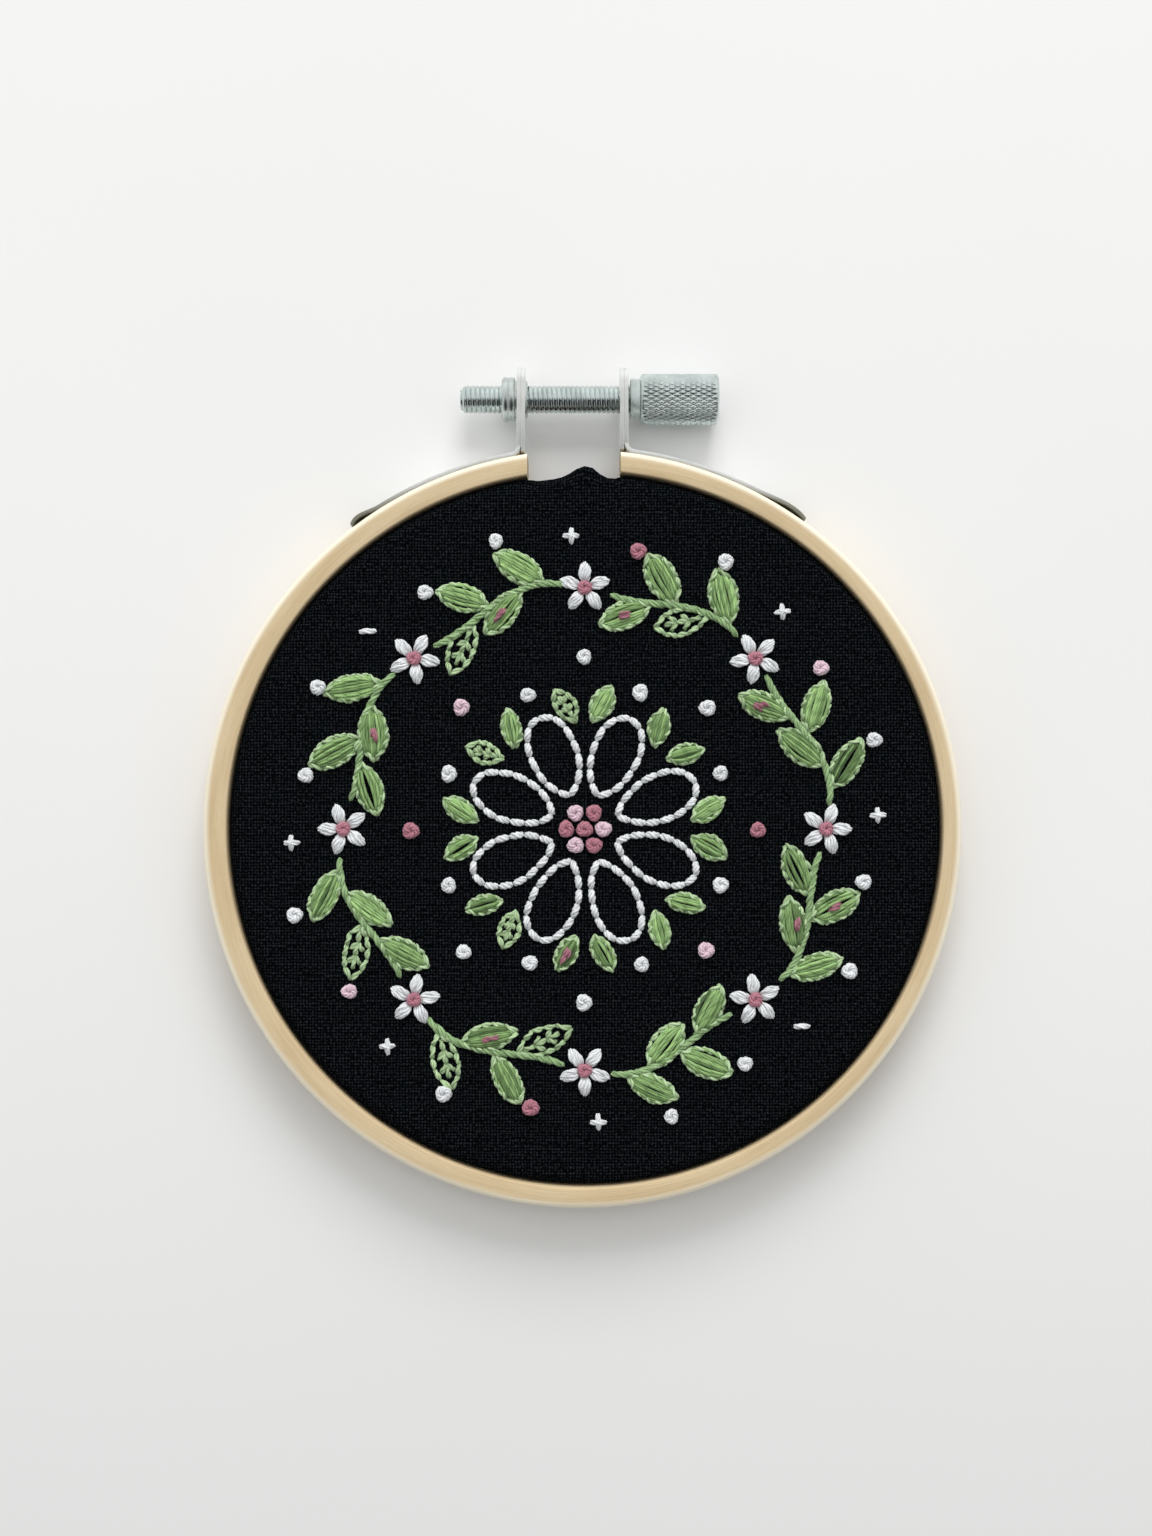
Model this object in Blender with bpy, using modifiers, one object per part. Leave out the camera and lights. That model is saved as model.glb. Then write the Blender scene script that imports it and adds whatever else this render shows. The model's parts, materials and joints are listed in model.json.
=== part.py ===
"""Embroidered black cloth stretched in a small split wooden hoop with a thumb screw.

The hoop lies on its back: +Z points out of the embroidered face and +Y towards the screw.
Every piece is modelled about the hoop's centre, and one empty then sets the whole object
over the origin, which is the middle of its bounding box at the surface it lies on.
"""

from math import asin, atan2, cos, hypot, pi, radians, sin, sqrt, tau

import bmesh
import bpy
from mathutils import Matrix, Vector

# Sizes in metres, angles in degrees.
PIECE_GAP = 0.0003
RING_STEPS = 72
SCREW_STEPS = 32

# Outer ring: a bent strip, thicker on its left side because its bore sits off centre.
RING_RADIUS = 0.0551
RING_BORE = 0.0520
RING_DEPTH = 0.0090
BORE_OFFSET = 0.00037
FRONT_ROUNDING = 0.0009
EDGE_EASING = 0.0003
SPLIT_LEFT = -0.0080
SPLIT_RIGHT = 0.0056

# Cloth: its face lies a little below the ring's front and its edge runs back between the rings.
CLOTH_THICKNESS = 0.0010
CLOTH_RADIUS = RING_BORE - PIECE_GAP
CLOTH_FACE = RING_DEPTH - 0.0003
SHOULDER = 0.0016
SHOULDER_STEPS = 3
PUCKER_CENTRE = 0.0007
PUCKER_HALF_WIDTH = 0.0042
PUCKER_REACH = 0.0529
PUCKER_LOW = 0.0012
PUCKER_RIDGE_WIDTH_SHARE = 0.16
PUCKER_RIDGE_HEIGHT_SHARE = 0.6

# Inner ring
INNER_RADIUS = CLOTH_RADIUS - CLOTH_THICKNESS - PIECE_GAP
INNER_WIDTH = 0.0030
INNER_DEPTH = CLOTH_FACE - CLOTH_THICKNESS - PIECE_GAP

# Brackets: a strap on the ring that ends in a lug, which is the strap's strip folded double.
STRAP_THICKNESS = 0.00055
STRAP_WIDTH = 0.0076
STRAP_CURL = 0.0009
CURL_ANGLE = 2.2
LUG_THICKNESS = 0.00125
LUG_WIDTH = 0.0070
LUG_TOP = 0.0675
LUG_CORNER = 0.0022
LUG_BEND = 0.0010
LEFT_LUG_INSIDE = -0.0083
LEFT_STRAP_END = 37.3
RIGHT_LUG_INSIDE = 0.0055
RIGHT_STRAP_END = 35.8
ARC_STEP = 2.5

# Screw, which lies along X through both lugs, and its nut
SCREW_Y = 0.0631
SCREW_Z = RING_DEPTH / 2
SHANK_RADIUS = 0.0020
SHANK_TIP = -0.0179
TIP_CHAMFER = 0.0006
COLLAR_RADIUS = 0.0030
KNOB_RADIUS = 0.0037
KNOB_START = 0.0085
KNOB_END = 0.0200
KNOB_CHAMFER = 0.0005
NUT_RADIUS = 0.0032
NUT_LENGTH = 0.0019
NUT_NECK = 0.00275
NUT_LIP = 0.0009
BORE_RADIUS = SHANK_RADIUS + PIECE_GAP

# Raised embroidery: a leafy wreath round one open flower, in eight repeats.
REPEATS = 8
VINE_RADIUS = 0.0350
VINE_WAVE = 0.0012
VINE_STEPS = 96
CORD_RADIUS = 0.0006
CORD_SINK = 0.0002
LEAF = (0.0085, 0.0038, 0.0011)
LEAF_LEAN = 38
SMALL_LEAF = (0.0060, 0.0027, 0.0010)
SMALL_LEAF_LEAN = 30
SMALL_LEAF_ROOT = 0.0152
SMALL_LEAF_SPREAD = 0.0010
LEAF_CLEARANCE = 0.0003
LEAF_POINT = 0.25
FORM_SINK = 0.0001
BLOSSOM_PETAL = (0.0027, 0.0015, 0.0009)
BLOSSOM_PETALS = 5
BLOSSOM_HOLLOW = 0.0011
KNOT = (0.0025, 0.0025, 0.0014)
OPEN_PETAL_START = 0.0050
OPEN_PETAL_LENGTH = 0.0125
OPEN_PETAL_WIDTH = 0.0076
OPEN_PETAL_POINT = 0.2
OPEN_PETAL_STEPS = 16
HEART_KNOTS = 6
HEART_RADIUS = 0.0027

# Leaves of one repeat: share of the repeat where the leaf leaves the vine, and its side.
LEAVES = ((0.20, 1), (0.32, -1), (0.50, 1), (0.62, -1))
# Knots of one repeat: share of the repeat, and distance from the cloth's centre.
KNOTS = ((0.38, 0.0436), (0.76, 0.0412), (0, 0.0250), (0.50, 0.0212))

HOOP_CENTRE = Vector((0, (RING_RADIUS - LUG_TOP) / 2, 0))


def clear_scene():
    """Removes every object that the scene starts with."""
    for old in list(bpy.data.objects):
        bpy.data.objects.remove(old, do_unlink=True)


def collection(name):
    """A new collection linked to the scene."""
    made = bpy.data.collections.new(name)
    bpy.context.scene.collection.children.link(made)
    return made


def material(name, colour, roughness, metallic=0.0):
    """A plain Principled material."""
    made = bpy.data.materials.new(name)
    made.use_nodes = True
    shader = made.node_tree.nodes["Principled BSDF"]
    shader.inputs["Base Color"].default_value = (*colour, 1)
    shader.inputs["Roughness"].default_value = roughness
    shader.inputs["Metallic"].default_value = metallic
    return made


def add_object(name, data, group, finish=None):
    """An object for a mesh or a curve, in its collection, with its material."""
    obj = bpy.data.objects.new(name, data)
    group.objects.link(obj)
    if finish:
        data.materials.append(finish)
    return obj


def add_helper(name, data, group):
    """An object that only cuts or joins another, so it stays out of the model."""
    obj = add_object(name, data, group)
    obj.hide_render = True
    obj.display_type = "WIRE"
    return obj


def turned(name, profile, steps, group, finish, closed):
    """A solid turned about Z from (radius, height) points that run down its outer side."""
    count = len(profile)
    edges = [(i, (i + 1) % count) for i in range(count if closed else count - 1)]
    mesh = bpy.data.meshes.new(name)
    mesh.from_pydata([(radius, 0, height) for radius, height in profile], edges, [])
    obj = add_object(name, mesh, group, finish)
    screw = obj.modifiers.new("turn", "SCREW")
    screw.steps = screw.render_steps = steps
    screw.use_merge_vertices = True
    screw.merge_threshold = 0.00001
    screw.use_normal_calculate = False
    screw.use_smooth_shade = True
    return obj


def baked(obj):
    """The object with its modifiers, or its curve, made into a plain welded mesh."""
    name = obj.name
    group = obj.users_collection[0]
    bpy.context.view_layer.update()
    evaluated = obj.evaluated_get(bpy.context.evaluated_depsgraph_get())
    mesh = bpy.data.meshes.new_from_object(evaluated)
    shape = bmesh.new()
    shape.from_mesh(mesh)
    bmesh.ops.remove_doubles(shape, verts=shape.verts, dist=0.000001)
    shape.to_mesh(mesh)
    shape.free()
    place = obj.matrix_world.copy()
    hidden = obj.hide_render
    bpy.data.objects.remove(obj, do_unlink=True)
    mesh.name = name
    made = bpy.data.objects.new(name, mesh)
    group.objects.link(made)
    made.matrix_world = place
    made.hide_render = hidden
    return made


def boolean(obj, other, operation):
    """A live Boolean of obj with another object."""
    modifier = obj.modifiers.new(other.name, "BOOLEAN")
    modifier.operation = operation
    modifier.object = other


def join_all(obj, others):
    """A live Boolean union of obj with every object of a collection at once."""
    modifier = obj.modifiers.new(others.name, "BOOLEAN")
    modifier.operation = "UNION"
    modifier.operand_type = "COLLECTION"
    modifier.collection = others


def outline(name, loops, half_depth, group, finish=None):
    """A flat plate, as a filled 2D curve, from closed loops of (x, y) points."""
    curve = bpy.data.curves.new(name, "CURVE")
    curve.dimensions = "2D"
    curve.fill_mode = "BOTH"
    curve.extrude = half_depth
    for loop in loops:
        spline = curve.splines.new("POLY")
        spline.points.add(len(loop) - 1)
        for point, (x, y) in zip(spline.points, loop):
            point.co = (x, y, 0, 1)
        spline.use_cyclic_u = True
    return add_object(name, curve, group, finish)


def arc(centre, radius, start, end, steps):
    """Points along an arc, both ends included, with its angles in radians."""
    angles = [start + (end - start) * i / steps for i in range(steps + 1)]
    return [(centre[0] + radius * cos(a), centre[1] + radius * sin(a)) for a in angles]


def make_outer_ring(group, helpers, finish):
    """The split outer ring, with a softly rounded front and eased edges."""
    outer_corner = (RING_RADIUS - FRONT_ROUNDING, RING_DEPTH - FRONT_ROUNDING)
    rounding = arc(outer_corner, FRONT_ROUNDING, pi / 2, 0, 4)
    profile = rounding + [
        (RING_RADIUS, EDGE_EASING),
        (RING_RADIUS - EDGE_EASING, 0),
        (RING_BORE + EDGE_EASING, 0),
        (RING_BORE, EDGE_EASING),
        (RING_BORE, RING_DEPTH - EDGE_EASING),
        (RING_BORE + EDGE_EASING, RING_DEPTH),
    ]
    ring = baked(turned("outer_ring", profile, RING_STEPS, group, finish, closed=True))
    middle_radius = (RING_BORE + RING_RADIUS) / 2
    for vertex in ring.data.vertices:
        if hypot(vertex.co.x, vertex.co.y) < middle_radius:
            vertex.co.x += BORE_OFFSET

    cutter_mesh = bpy.data.meshes.new("split_cutter")
    shape = bmesh.new()
    size = (SPLIT_RIGHT - SPLIT_LEFT, RING_RADIUS, 4 * RING_DEPTH)
    place = Matrix.Translation(((SPLIT_LEFT + SPLIT_RIGHT) / 2, RING_RADIUS, 0))
    bmesh.ops.create_cube(shape, size=1, matrix=place @ Matrix.Diagonal((*size, 1)))
    shape.to_mesh(cutter_mesh)
    shape.free()
    boolean(ring, add_helper("split_cutter", cutter_mesh, helpers), "DIFFERENCE")
    return ring


def make_inner_ring(group, finish):
    """The full inner ring, which hides under the cloth."""
    bore = INNER_RADIUS - INNER_WIDTH
    profile = [
        (INNER_RADIUS - EDGE_EASING, INNER_DEPTH),
        (INNER_RADIUS, INNER_DEPTH - EDGE_EASING),
        (INNER_RADIUS, 0),
        (bore + EDGE_EASING, 0),
        (bore, EDGE_EASING),
        (bore, INNER_DEPTH - EDGE_EASING),
        (bore + EDGE_EASING, INNER_DEPTH),
    ]
    ring = turned("inner_ring", profile, RING_STEPS, group, finish, closed=True)
    ring.location.x = BORE_OFFSET
    return ring


def lens(shape, centre, angle, size, segments, rings, taper):
    """A low rounded form lying along angle, pointed where taper is above zero."""
    made = bmesh.ops.create_uvsphere(shape, u_segments=segments, v_segments=rings, radius=1)
    length, width, height = size
    for vertex in made["verts"]:
        side, up, along = vertex.co
        narrowing = max(0.0, 1 - along * along) ** taper
        vertex.co = (along * length / 2, side * narrowing * width / 2, up * height / 2)
    sunk = centre - Vector((0, 0, FORM_SINK))
    place = Matrix.Translation(sunk) @ Matrix.Rotation(angle, 4, "Z")
    bmesh.ops.transform(shape, matrix=place, verts=made["verts"])


def raised_cord(name, points, raised):
    """A closed round cord that sinks partly into the cloth's face."""
    curve = bpy.data.curves.new(name, "CURVE")
    curve.dimensions = "3D"
    curve.bevel_depth = CORD_RADIUS
    curve.bevel_resolution = 0
    spline = curve.splines.new("POLY")
    spline.points.add(len(points) - 1)
    for point, (x, y) in zip(spline.points, points):
        point.co = (x, y, CLOTH_FACE - CORD_SINK, 1)
    spline.use_cyclic_u = True
    baked(add_helper(name, curve, raised))


def vine_radius(angle):
    """Distance of the waving vine from the cloth's centre."""
    return VINE_RADIUS + VINE_WAVE * sin(REPEATS * angle)


def polar(radius, angle):
    """A point on the cloth's face."""
    return Vector((radius * cos(angle), radius * sin(angle), CLOTH_FACE))


def add_leaf(shape, root, direction, size):
    """One leaf that starts at its root and points along direction."""
    reach = size[0] / 2 + LEAF_CLEARANCE
    middle = root + Vector((reach * cos(direction), reach * sin(direction), 0))
    lens(shape, middle, direction, size, 6, 6, LEAF_POINT)


def add_relief_leaves(shape):
    """The wreath's leaves, alternately out and in, and the small pairs between the petals."""
    for repeat in range(REPEATS):
        start = repeat * tau / REPEATS
        for share, side in LEAVES:
            angle = start + share * tau / REPEATS
            direction = angle + pi / 2 - side * radians(LEAF_LEAN)
            add_leaf(shape, polar(vine_radius(angle), angle), direction, LEAF)
        for side in (1, -1):
            direction = start + side * radians(SMALL_LEAF_LEAN)
            root = polar(SMALL_LEAF_ROOT, start + side * SMALL_LEAF_SPREAD / SMALL_LEAF_ROOT)
            add_leaf(shape, root, direction, SMALL_LEAF)


def add_relief_blossoms(shape):
    """The small five-petalled blossoms at the start of each repeat."""
    reach = BLOSSOM_HOLLOW + BLOSSOM_PETAL[0] / 2
    for repeat in range(REPEATS):
        angle = repeat * tau / REPEATS
        centre = polar(vine_radius(angle), angle)
        for petal in range(BLOSSOM_PETALS):
            turn = angle + petal * tau / BLOSSOM_PETALS
            middle = centre + Vector((reach * cos(turn), reach * sin(turn), 0))
            lens(shape, middle, turn, BLOSSOM_PETAL, 6, 4, 0)


def add_relief_knots(shape):
    """Every knot: in the wreath, in the blossoms and in the heart of the open flower."""
    spots = [polar(HEART_RADIUS, i * tau / HEART_KNOTS) for i in range(HEART_KNOTS)]
    spots.append(polar(0, 0))
    for repeat in range(REPEATS):
        angle = repeat * tau / REPEATS
        spots.append(polar(vine_radius(angle), angle))
        for share, radius in KNOTS:
            spots.append(polar(radius, (repeat + share) * tau / REPEATS))
    for spot in spots:
        lens(shape, spot, 0, KNOT, 6, 4, 0)


def open_petal(angle):
    """The outline of one drop-shaped petal of the middle flower."""
    points = []
    for step in range(OPEN_PETAL_STEPS):
        turn = tau * step / OPEN_PETAL_STEPS
        out = (1 - cos(turn)) / 2
        along = OPEN_PETAL_START + OPEN_PETAL_LENGTH * out
        across = OPEN_PETAL_WIDTH / 2 * sin(turn) * out**OPEN_PETAL_POINT
        x = along * cos(angle) - across * sin(angle)
        y = along * sin(angle) + across * cos(angle)
        points.append((x, y))
    return points


def make_relief(name, add_forms, raised):
    """One helper mesh that holds forms that do not touch each other."""
    mesh = bpy.data.meshes.new(name)
    shape = bmesh.new()
    add_forms(shape)
    shape.to_mesh(mesh)
    shape.free()
    add_helper(name, mesh, raised)


def make_pucker(raised):
    """The fold of cloth that bulges into the split of the outer ring."""
    mesh = bpy.data.meshes.new("pucker")
    shape = bmesh.new()
    top = CLOTH_FACE - SHOULDER / 2
    base_y = CLOTH_RADIUS - CLOTH_THICKNESS / 2
    depth = PUCKER_REACH - base_y
    size = Vector((2 * PUCKER_HALF_WIDTH, depth, top - PUCKER_LOW))
    middle = Vector((PUCKER_CENTRE, base_y + depth / 2, (top + PUCKER_LOW) / 2))
    place = Matrix.Translation(middle) @ Matrix.Diagonal((*size, 1))
    made = bmesh.ops.create_cube(shape, size=1, matrix=place)
    for vertex in made["verts"]:
        if vertex.co.y > middle.y:
            vertex.co.x = middle.x + (vertex.co.x - middle.x) * PUCKER_RIDGE_WIDTH_SHARE
            vertex.co.z = middle.z + (vertex.co.z - middle.z) * PUCKER_RIDGE_HEIGHT_SHARE
    shape.to_mesh(mesh)
    shape.free()
    add_helper("pucker", mesh, raised)


def make_cloth(group, raised, finish):
    """The stretched cloth: a flat face, a rounded shoulder and an edge that runs back."""
    mesh = bpy.data.meshes.new("cloth")
    shape = bmesh.new()
    face_radius = CLOTH_RADIUS - SHOULDER
    bmesh.ops.create_circle(
        shape, cap_ends=True, segments=RING_STEPS, radius=face_radius,
        matrix=Matrix.Translation((0, 0, CLOTH_FACE)),
    )
    drop = arc((face_radius, CLOTH_FACE - SHOULDER), SHOULDER, pi / 2, 0, SHOULDER_STEPS)[1:]
    rim = [edge for edge in shape.edges if edge.is_boundary]
    for radius, height in drop + [(CLOTH_RADIUS, 0)]:
        grown = bmesh.ops.extrude_edge_only(shape, edges=rim)["geom"]
        rim = [item for item in grown if isinstance(item, bmesh.types.BMEdge)]
        for vertex in (item for item in grown if isinstance(item, bmesh.types.BMVert)):
            turn = atan2(vertex.co.y, vertex.co.x)
            vertex.co = (radius * cos(turn), radius * sin(turn), height)
    bmesh.ops.recalc_face_normals(shape, faces=shape.faces)
    shape.normal_update()
    if max(shape.faces, key=lambda face: face.calc_area()).normal.z < 0:
        bmesh.ops.reverse_faces(shape, faces=shape.faces)
    shape.to_mesh(mesh)
    shape.free()

    cloth = add_object("cloth", mesh, group, finish)
    wall = cloth.modifiers.new("wall", "SOLIDIFY")
    wall.thickness = CLOTH_THICKNESS
    wall.offset = -1
    wall.use_even_offset = True

    turns = [tau * step / VINE_STEPS for step in range(VINE_STEPS)]
    raised_cord("raised_vine", [polar(vine_radius(turn), turn).xy for turn in turns], raised)
    for petal in range(REPEATS):
        raised_cord(f"raised_petal_{petal}", open_petal((petal + 0.5) * tau / REPEATS), raised)
    make_relief("raised_leaves", add_relief_leaves, raised)
    make_relief("raised_blossoms", add_relief_blossoms, raised)
    make_relief("raised_knots", add_relief_knots, raised)
    make_pucker(raised)
    join_all(cloth, raised)
    cloth.location.x = BORE_OFFSET
    return cloth


def strap_loop(side, lug_inside, end_angle):
    """The strap's outline on the ring, from inside the lug to its lifted end."""
    inner = RING_RADIUS + PIECE_GAP
    outer = inner + STRAP_THICKNESS
    sunk = LUG_THICKNESS / 4
    lug_near = abs(lug_inside) + sunk
    lug_far = abs(lug_inside) + LUG_THICKNESS - sunk
    first = asin(lug_near / inner)
    last = radians(end_angle)
    bend_start = asin((lug_far + LUG_BEND) / outer)
    curl = radians(CURL_ANGLE)
    steps = round(end_angle / ARC_STEP)

    def on_ring(radius, turn):
        return (side * radius * sin(turn), radius * cos(turn))

    along = [first + (last - curl - first) * i / steps for i in range(steps + 1)]
    back = [last - curl + (bend_start - last + curl) * i / steps for i in range(steps + 1)]
    loop = [on_ring(inner, turn) for turn in along]
    loop.append(on_ring(inner + STRAP_CURL, last))
    loop.append(on_ring(outer + STRAP_CURL, last - curl / 5))
    loop += [on_ring(outer, turn) for turn in back]
    foot = outer * cos(bend_start)
    bend = arc((lug_far + LUG_BEND, foot + LUG_BEND), LUG_BEND, -pi / 2, -pi, 3)
    return loop + [(side * x, y) for x, y in bend]


def lug_loops(lug_inside, hole_radius):
    """The lug seen along X, as (width, height) points, and the hole for the screw."""
    half = LUG_WIDTH / 2
    bottom = sqrt((RING_RADIUS + PIECE_GAP) ** 2 - lug_inside**2) + PIECE_GAP / 3
    corner_y = LUG_TOP - LUG_CORNER
    plate = [(half, bottom)]
    plate += arc((half - LUG_CORNER, corner_y), LUG_CORNER, 0, pi / 2, 5)
    plate += arc((LUG_CORNER - half, corner_y), LUG_CORNER, pi / 2, pi, 5)
    plate.append((-half, bottom))
    hole = arc((0, SCREW_Y), hole_radius, 0, tau * 23 / 24, 23)
    return [plate, hole]


def make_bracket(name, lug_inside, end_angle, hole_radius, group, helpers, finish):
    """One bracket: a strap along the ring joined to its upright lug."""
    side = 1 if lug_inside > 0 else -1
    strap = outline(name, [strap_loop(side, lug_inside, end_angle)], STRAP_WIDTH / 2, group, finish)
    strap.location.z = SCREW_Z
    strap = baked(strap)

    lug = outline(f"{name}_lug", lug_loops(lug_inside, hole_radius), LUG_THICKNESS / 2, helpers)
    # The outline's x runs along -Z, its y along +Y and its depth along +X.
    turn = Matrix(((0, 0, 1, 0), (0, 1, 0, 0), (-1, 0, 0, 0), (0, 0, 0, 1)))
    middle = lug_inside + side * LUG_THICKNESS / 2
    lug.matrix_world = Matrix.Translation((middle, 0, SCREW_Z)) @ turn
    lug.hide_render = True
    lug = baked(lug)
    lug.display_type = "WIRE"
    boolean(strap, lug, "UNION")
    return strap


def lay_along_x(obj):
    """Turns a piece that was made about Z so that it lies on the screw's axis."""
    obj.rotation_euler.y = pi / 2
    obj.location = (0, SCREW_Y, SCREW_Z)
    return obj


def make_nut(group, finish):
    """The round nut, whose neck is swaged through the left lug."""
    lug_outside = LEFT_LUG_INSIDE - LUG_THICKNESS
    face = lug_outside - PIECE_GAP
    lip = LEFT_LUG_INSIDE + NUT_LIP
    profile = [
        (NUT_NECK, lip),
        (NUT_NECK, face),
        (NUT_RADIUS, face),
        (NUT_RADIUS, face - NUT_LENGTH),
        (BORE_RADIUS, face - NUT_LENGTH),
        (BORE_RADIUS, lip),
    ]
    return lay_along_x(turned("nut", profile, SCREW_STEPS, group, finish, closed=True))


def make_thumb_screw(group, finish):
    """The screw with its collar and its round knob, in one piece."""
    collar_face = RIGHT_LUG_INSIDE + LUG_THICKNESS + PIECE_GAP
    profile = [
        (0, KNOB_END),
        (KNOB_RADIUS - KNOB_CHAMFER, KNOB_END),
        (KNOB_RADIUS, KNOB_END - KNOB_CHAMFER),
        (KNOB_RADIUS, KNOB_START + KNOB_CHAMFER),
        (KNOB_RADIUS - KNOB_CHAMFER, KNOB_START),
        (COLLAR_RADIUS, KNOB_START),
        (COLLAR_RADIUS, collar_face),
        (SHANK_RADIUS, collar_face),
        (SHANK_RADIUS, SHANK_TIP + TIP_CHAMFER),
        (SHANK_RADIUS - TIP_CHAMFER, SHANK_TIP),
        (0, SHANK_TIP),
    ]
    return lay_along_x(turned("thumb_screw", profile, SCREW_STEPS, group, finish, closed=False))


def main():
    """Builds every piece and sets them over the origin."""
    clear_scene()
    group = collection("hoop_embroidery")
    helpers = collection("cutters_and_lugs")
    raised = collection("raised_on_cloth")
    wood = material("pale_wood", (0.66, 0.52, 0.33), 0.55)
    cotton = material("black_cotton", (0.010, 0.011, 0.014), 0.9)
    nickel = material("nickel_plate", (0.60, 0.63, 0.60), 0.3, 1.0)
    zinc = material("zinc_plate", (0.45, 0.50, 0.50), 0.35, 1.0)

    pieces = [
        make_outer_ring(group, helpers, wood),
        make_inner_ring(group, wood),
        make_cloth(group, raised, cotton),
        make_bracket("bracket_left", LEFT_LUG_INSIDE, LEFT_STRAP_END, NUT_NECK + PIECE_GAP,
                     group, helpers, nickel),
        make_bracket("bracket_right", RIGHT_LUG_INSIDE, RIGHT_STRAP_END, BORE_RADIUS,
                     group, helpers, nickel),
        make_nut(group, nickel),
        make_thumb_screw(group, zinc),
    ]
    centre = add_object("hoop_centre", None, group)
    for piece in pieces + list(helpers.objects) + list(raised.objects):
        piece.parent = centre
    centre.location = HOOP_CENTRE


main()
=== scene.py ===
"""Looks of an embroidered black cloth in its split wooden hoop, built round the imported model.

Sizes are in metres. The hoop lies on its back: +Z points out of the embroidered face and +Y
towards the screw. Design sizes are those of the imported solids, and each piece stays where the
solid that it stands for is.
"""

import json
import logging
from collections.abc import Callable
from dataclasses import dataclass, field
from enum import Enum
from math import asin, atan2, cos, hypot, pi, radians, sin, sqrt, tau

import bmesh
import bpy
import numpy as np
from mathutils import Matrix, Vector

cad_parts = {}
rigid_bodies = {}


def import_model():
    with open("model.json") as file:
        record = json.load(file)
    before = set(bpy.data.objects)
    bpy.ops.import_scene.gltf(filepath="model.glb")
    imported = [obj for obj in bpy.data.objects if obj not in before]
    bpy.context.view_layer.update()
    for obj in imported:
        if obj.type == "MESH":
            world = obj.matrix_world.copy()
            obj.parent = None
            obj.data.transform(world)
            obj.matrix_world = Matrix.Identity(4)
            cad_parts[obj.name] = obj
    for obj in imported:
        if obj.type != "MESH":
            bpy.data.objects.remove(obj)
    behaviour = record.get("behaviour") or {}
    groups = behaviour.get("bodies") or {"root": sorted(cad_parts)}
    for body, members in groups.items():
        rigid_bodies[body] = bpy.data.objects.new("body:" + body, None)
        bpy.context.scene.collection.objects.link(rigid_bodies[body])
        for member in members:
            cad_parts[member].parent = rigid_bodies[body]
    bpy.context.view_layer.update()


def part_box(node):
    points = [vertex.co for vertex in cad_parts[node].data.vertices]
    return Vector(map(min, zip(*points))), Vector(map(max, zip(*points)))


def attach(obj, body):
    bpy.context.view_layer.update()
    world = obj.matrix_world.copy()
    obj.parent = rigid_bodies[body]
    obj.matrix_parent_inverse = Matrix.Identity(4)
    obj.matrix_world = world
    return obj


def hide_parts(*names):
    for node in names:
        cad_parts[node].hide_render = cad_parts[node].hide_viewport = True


log = logging.getLogger("hoop")

Colour = tuple[float, float, float]
Socket = bpy.types.NodeSocket
Relief = Callable[[np.ndarray, np.ndarray], np.ndarray]

MM = 0.001
UP = np.array((0.0, 0.0, 1.0))
PIECE_GAP = 0.3 * MM
GRAIN_RADIUS = 53 * MM


class Body(Enum):
    """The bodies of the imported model."""

    HOOP = "hoop"
    SCREW = "screw"


class Slot(Enum):
    """The record's material slots."""

    WOOD = "hoop_wood"
    COTTON = "black_cotton"
    NICKEL = "nickel_plate"
    ZINC = "zinc_plate"


# Shader helpers


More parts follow.
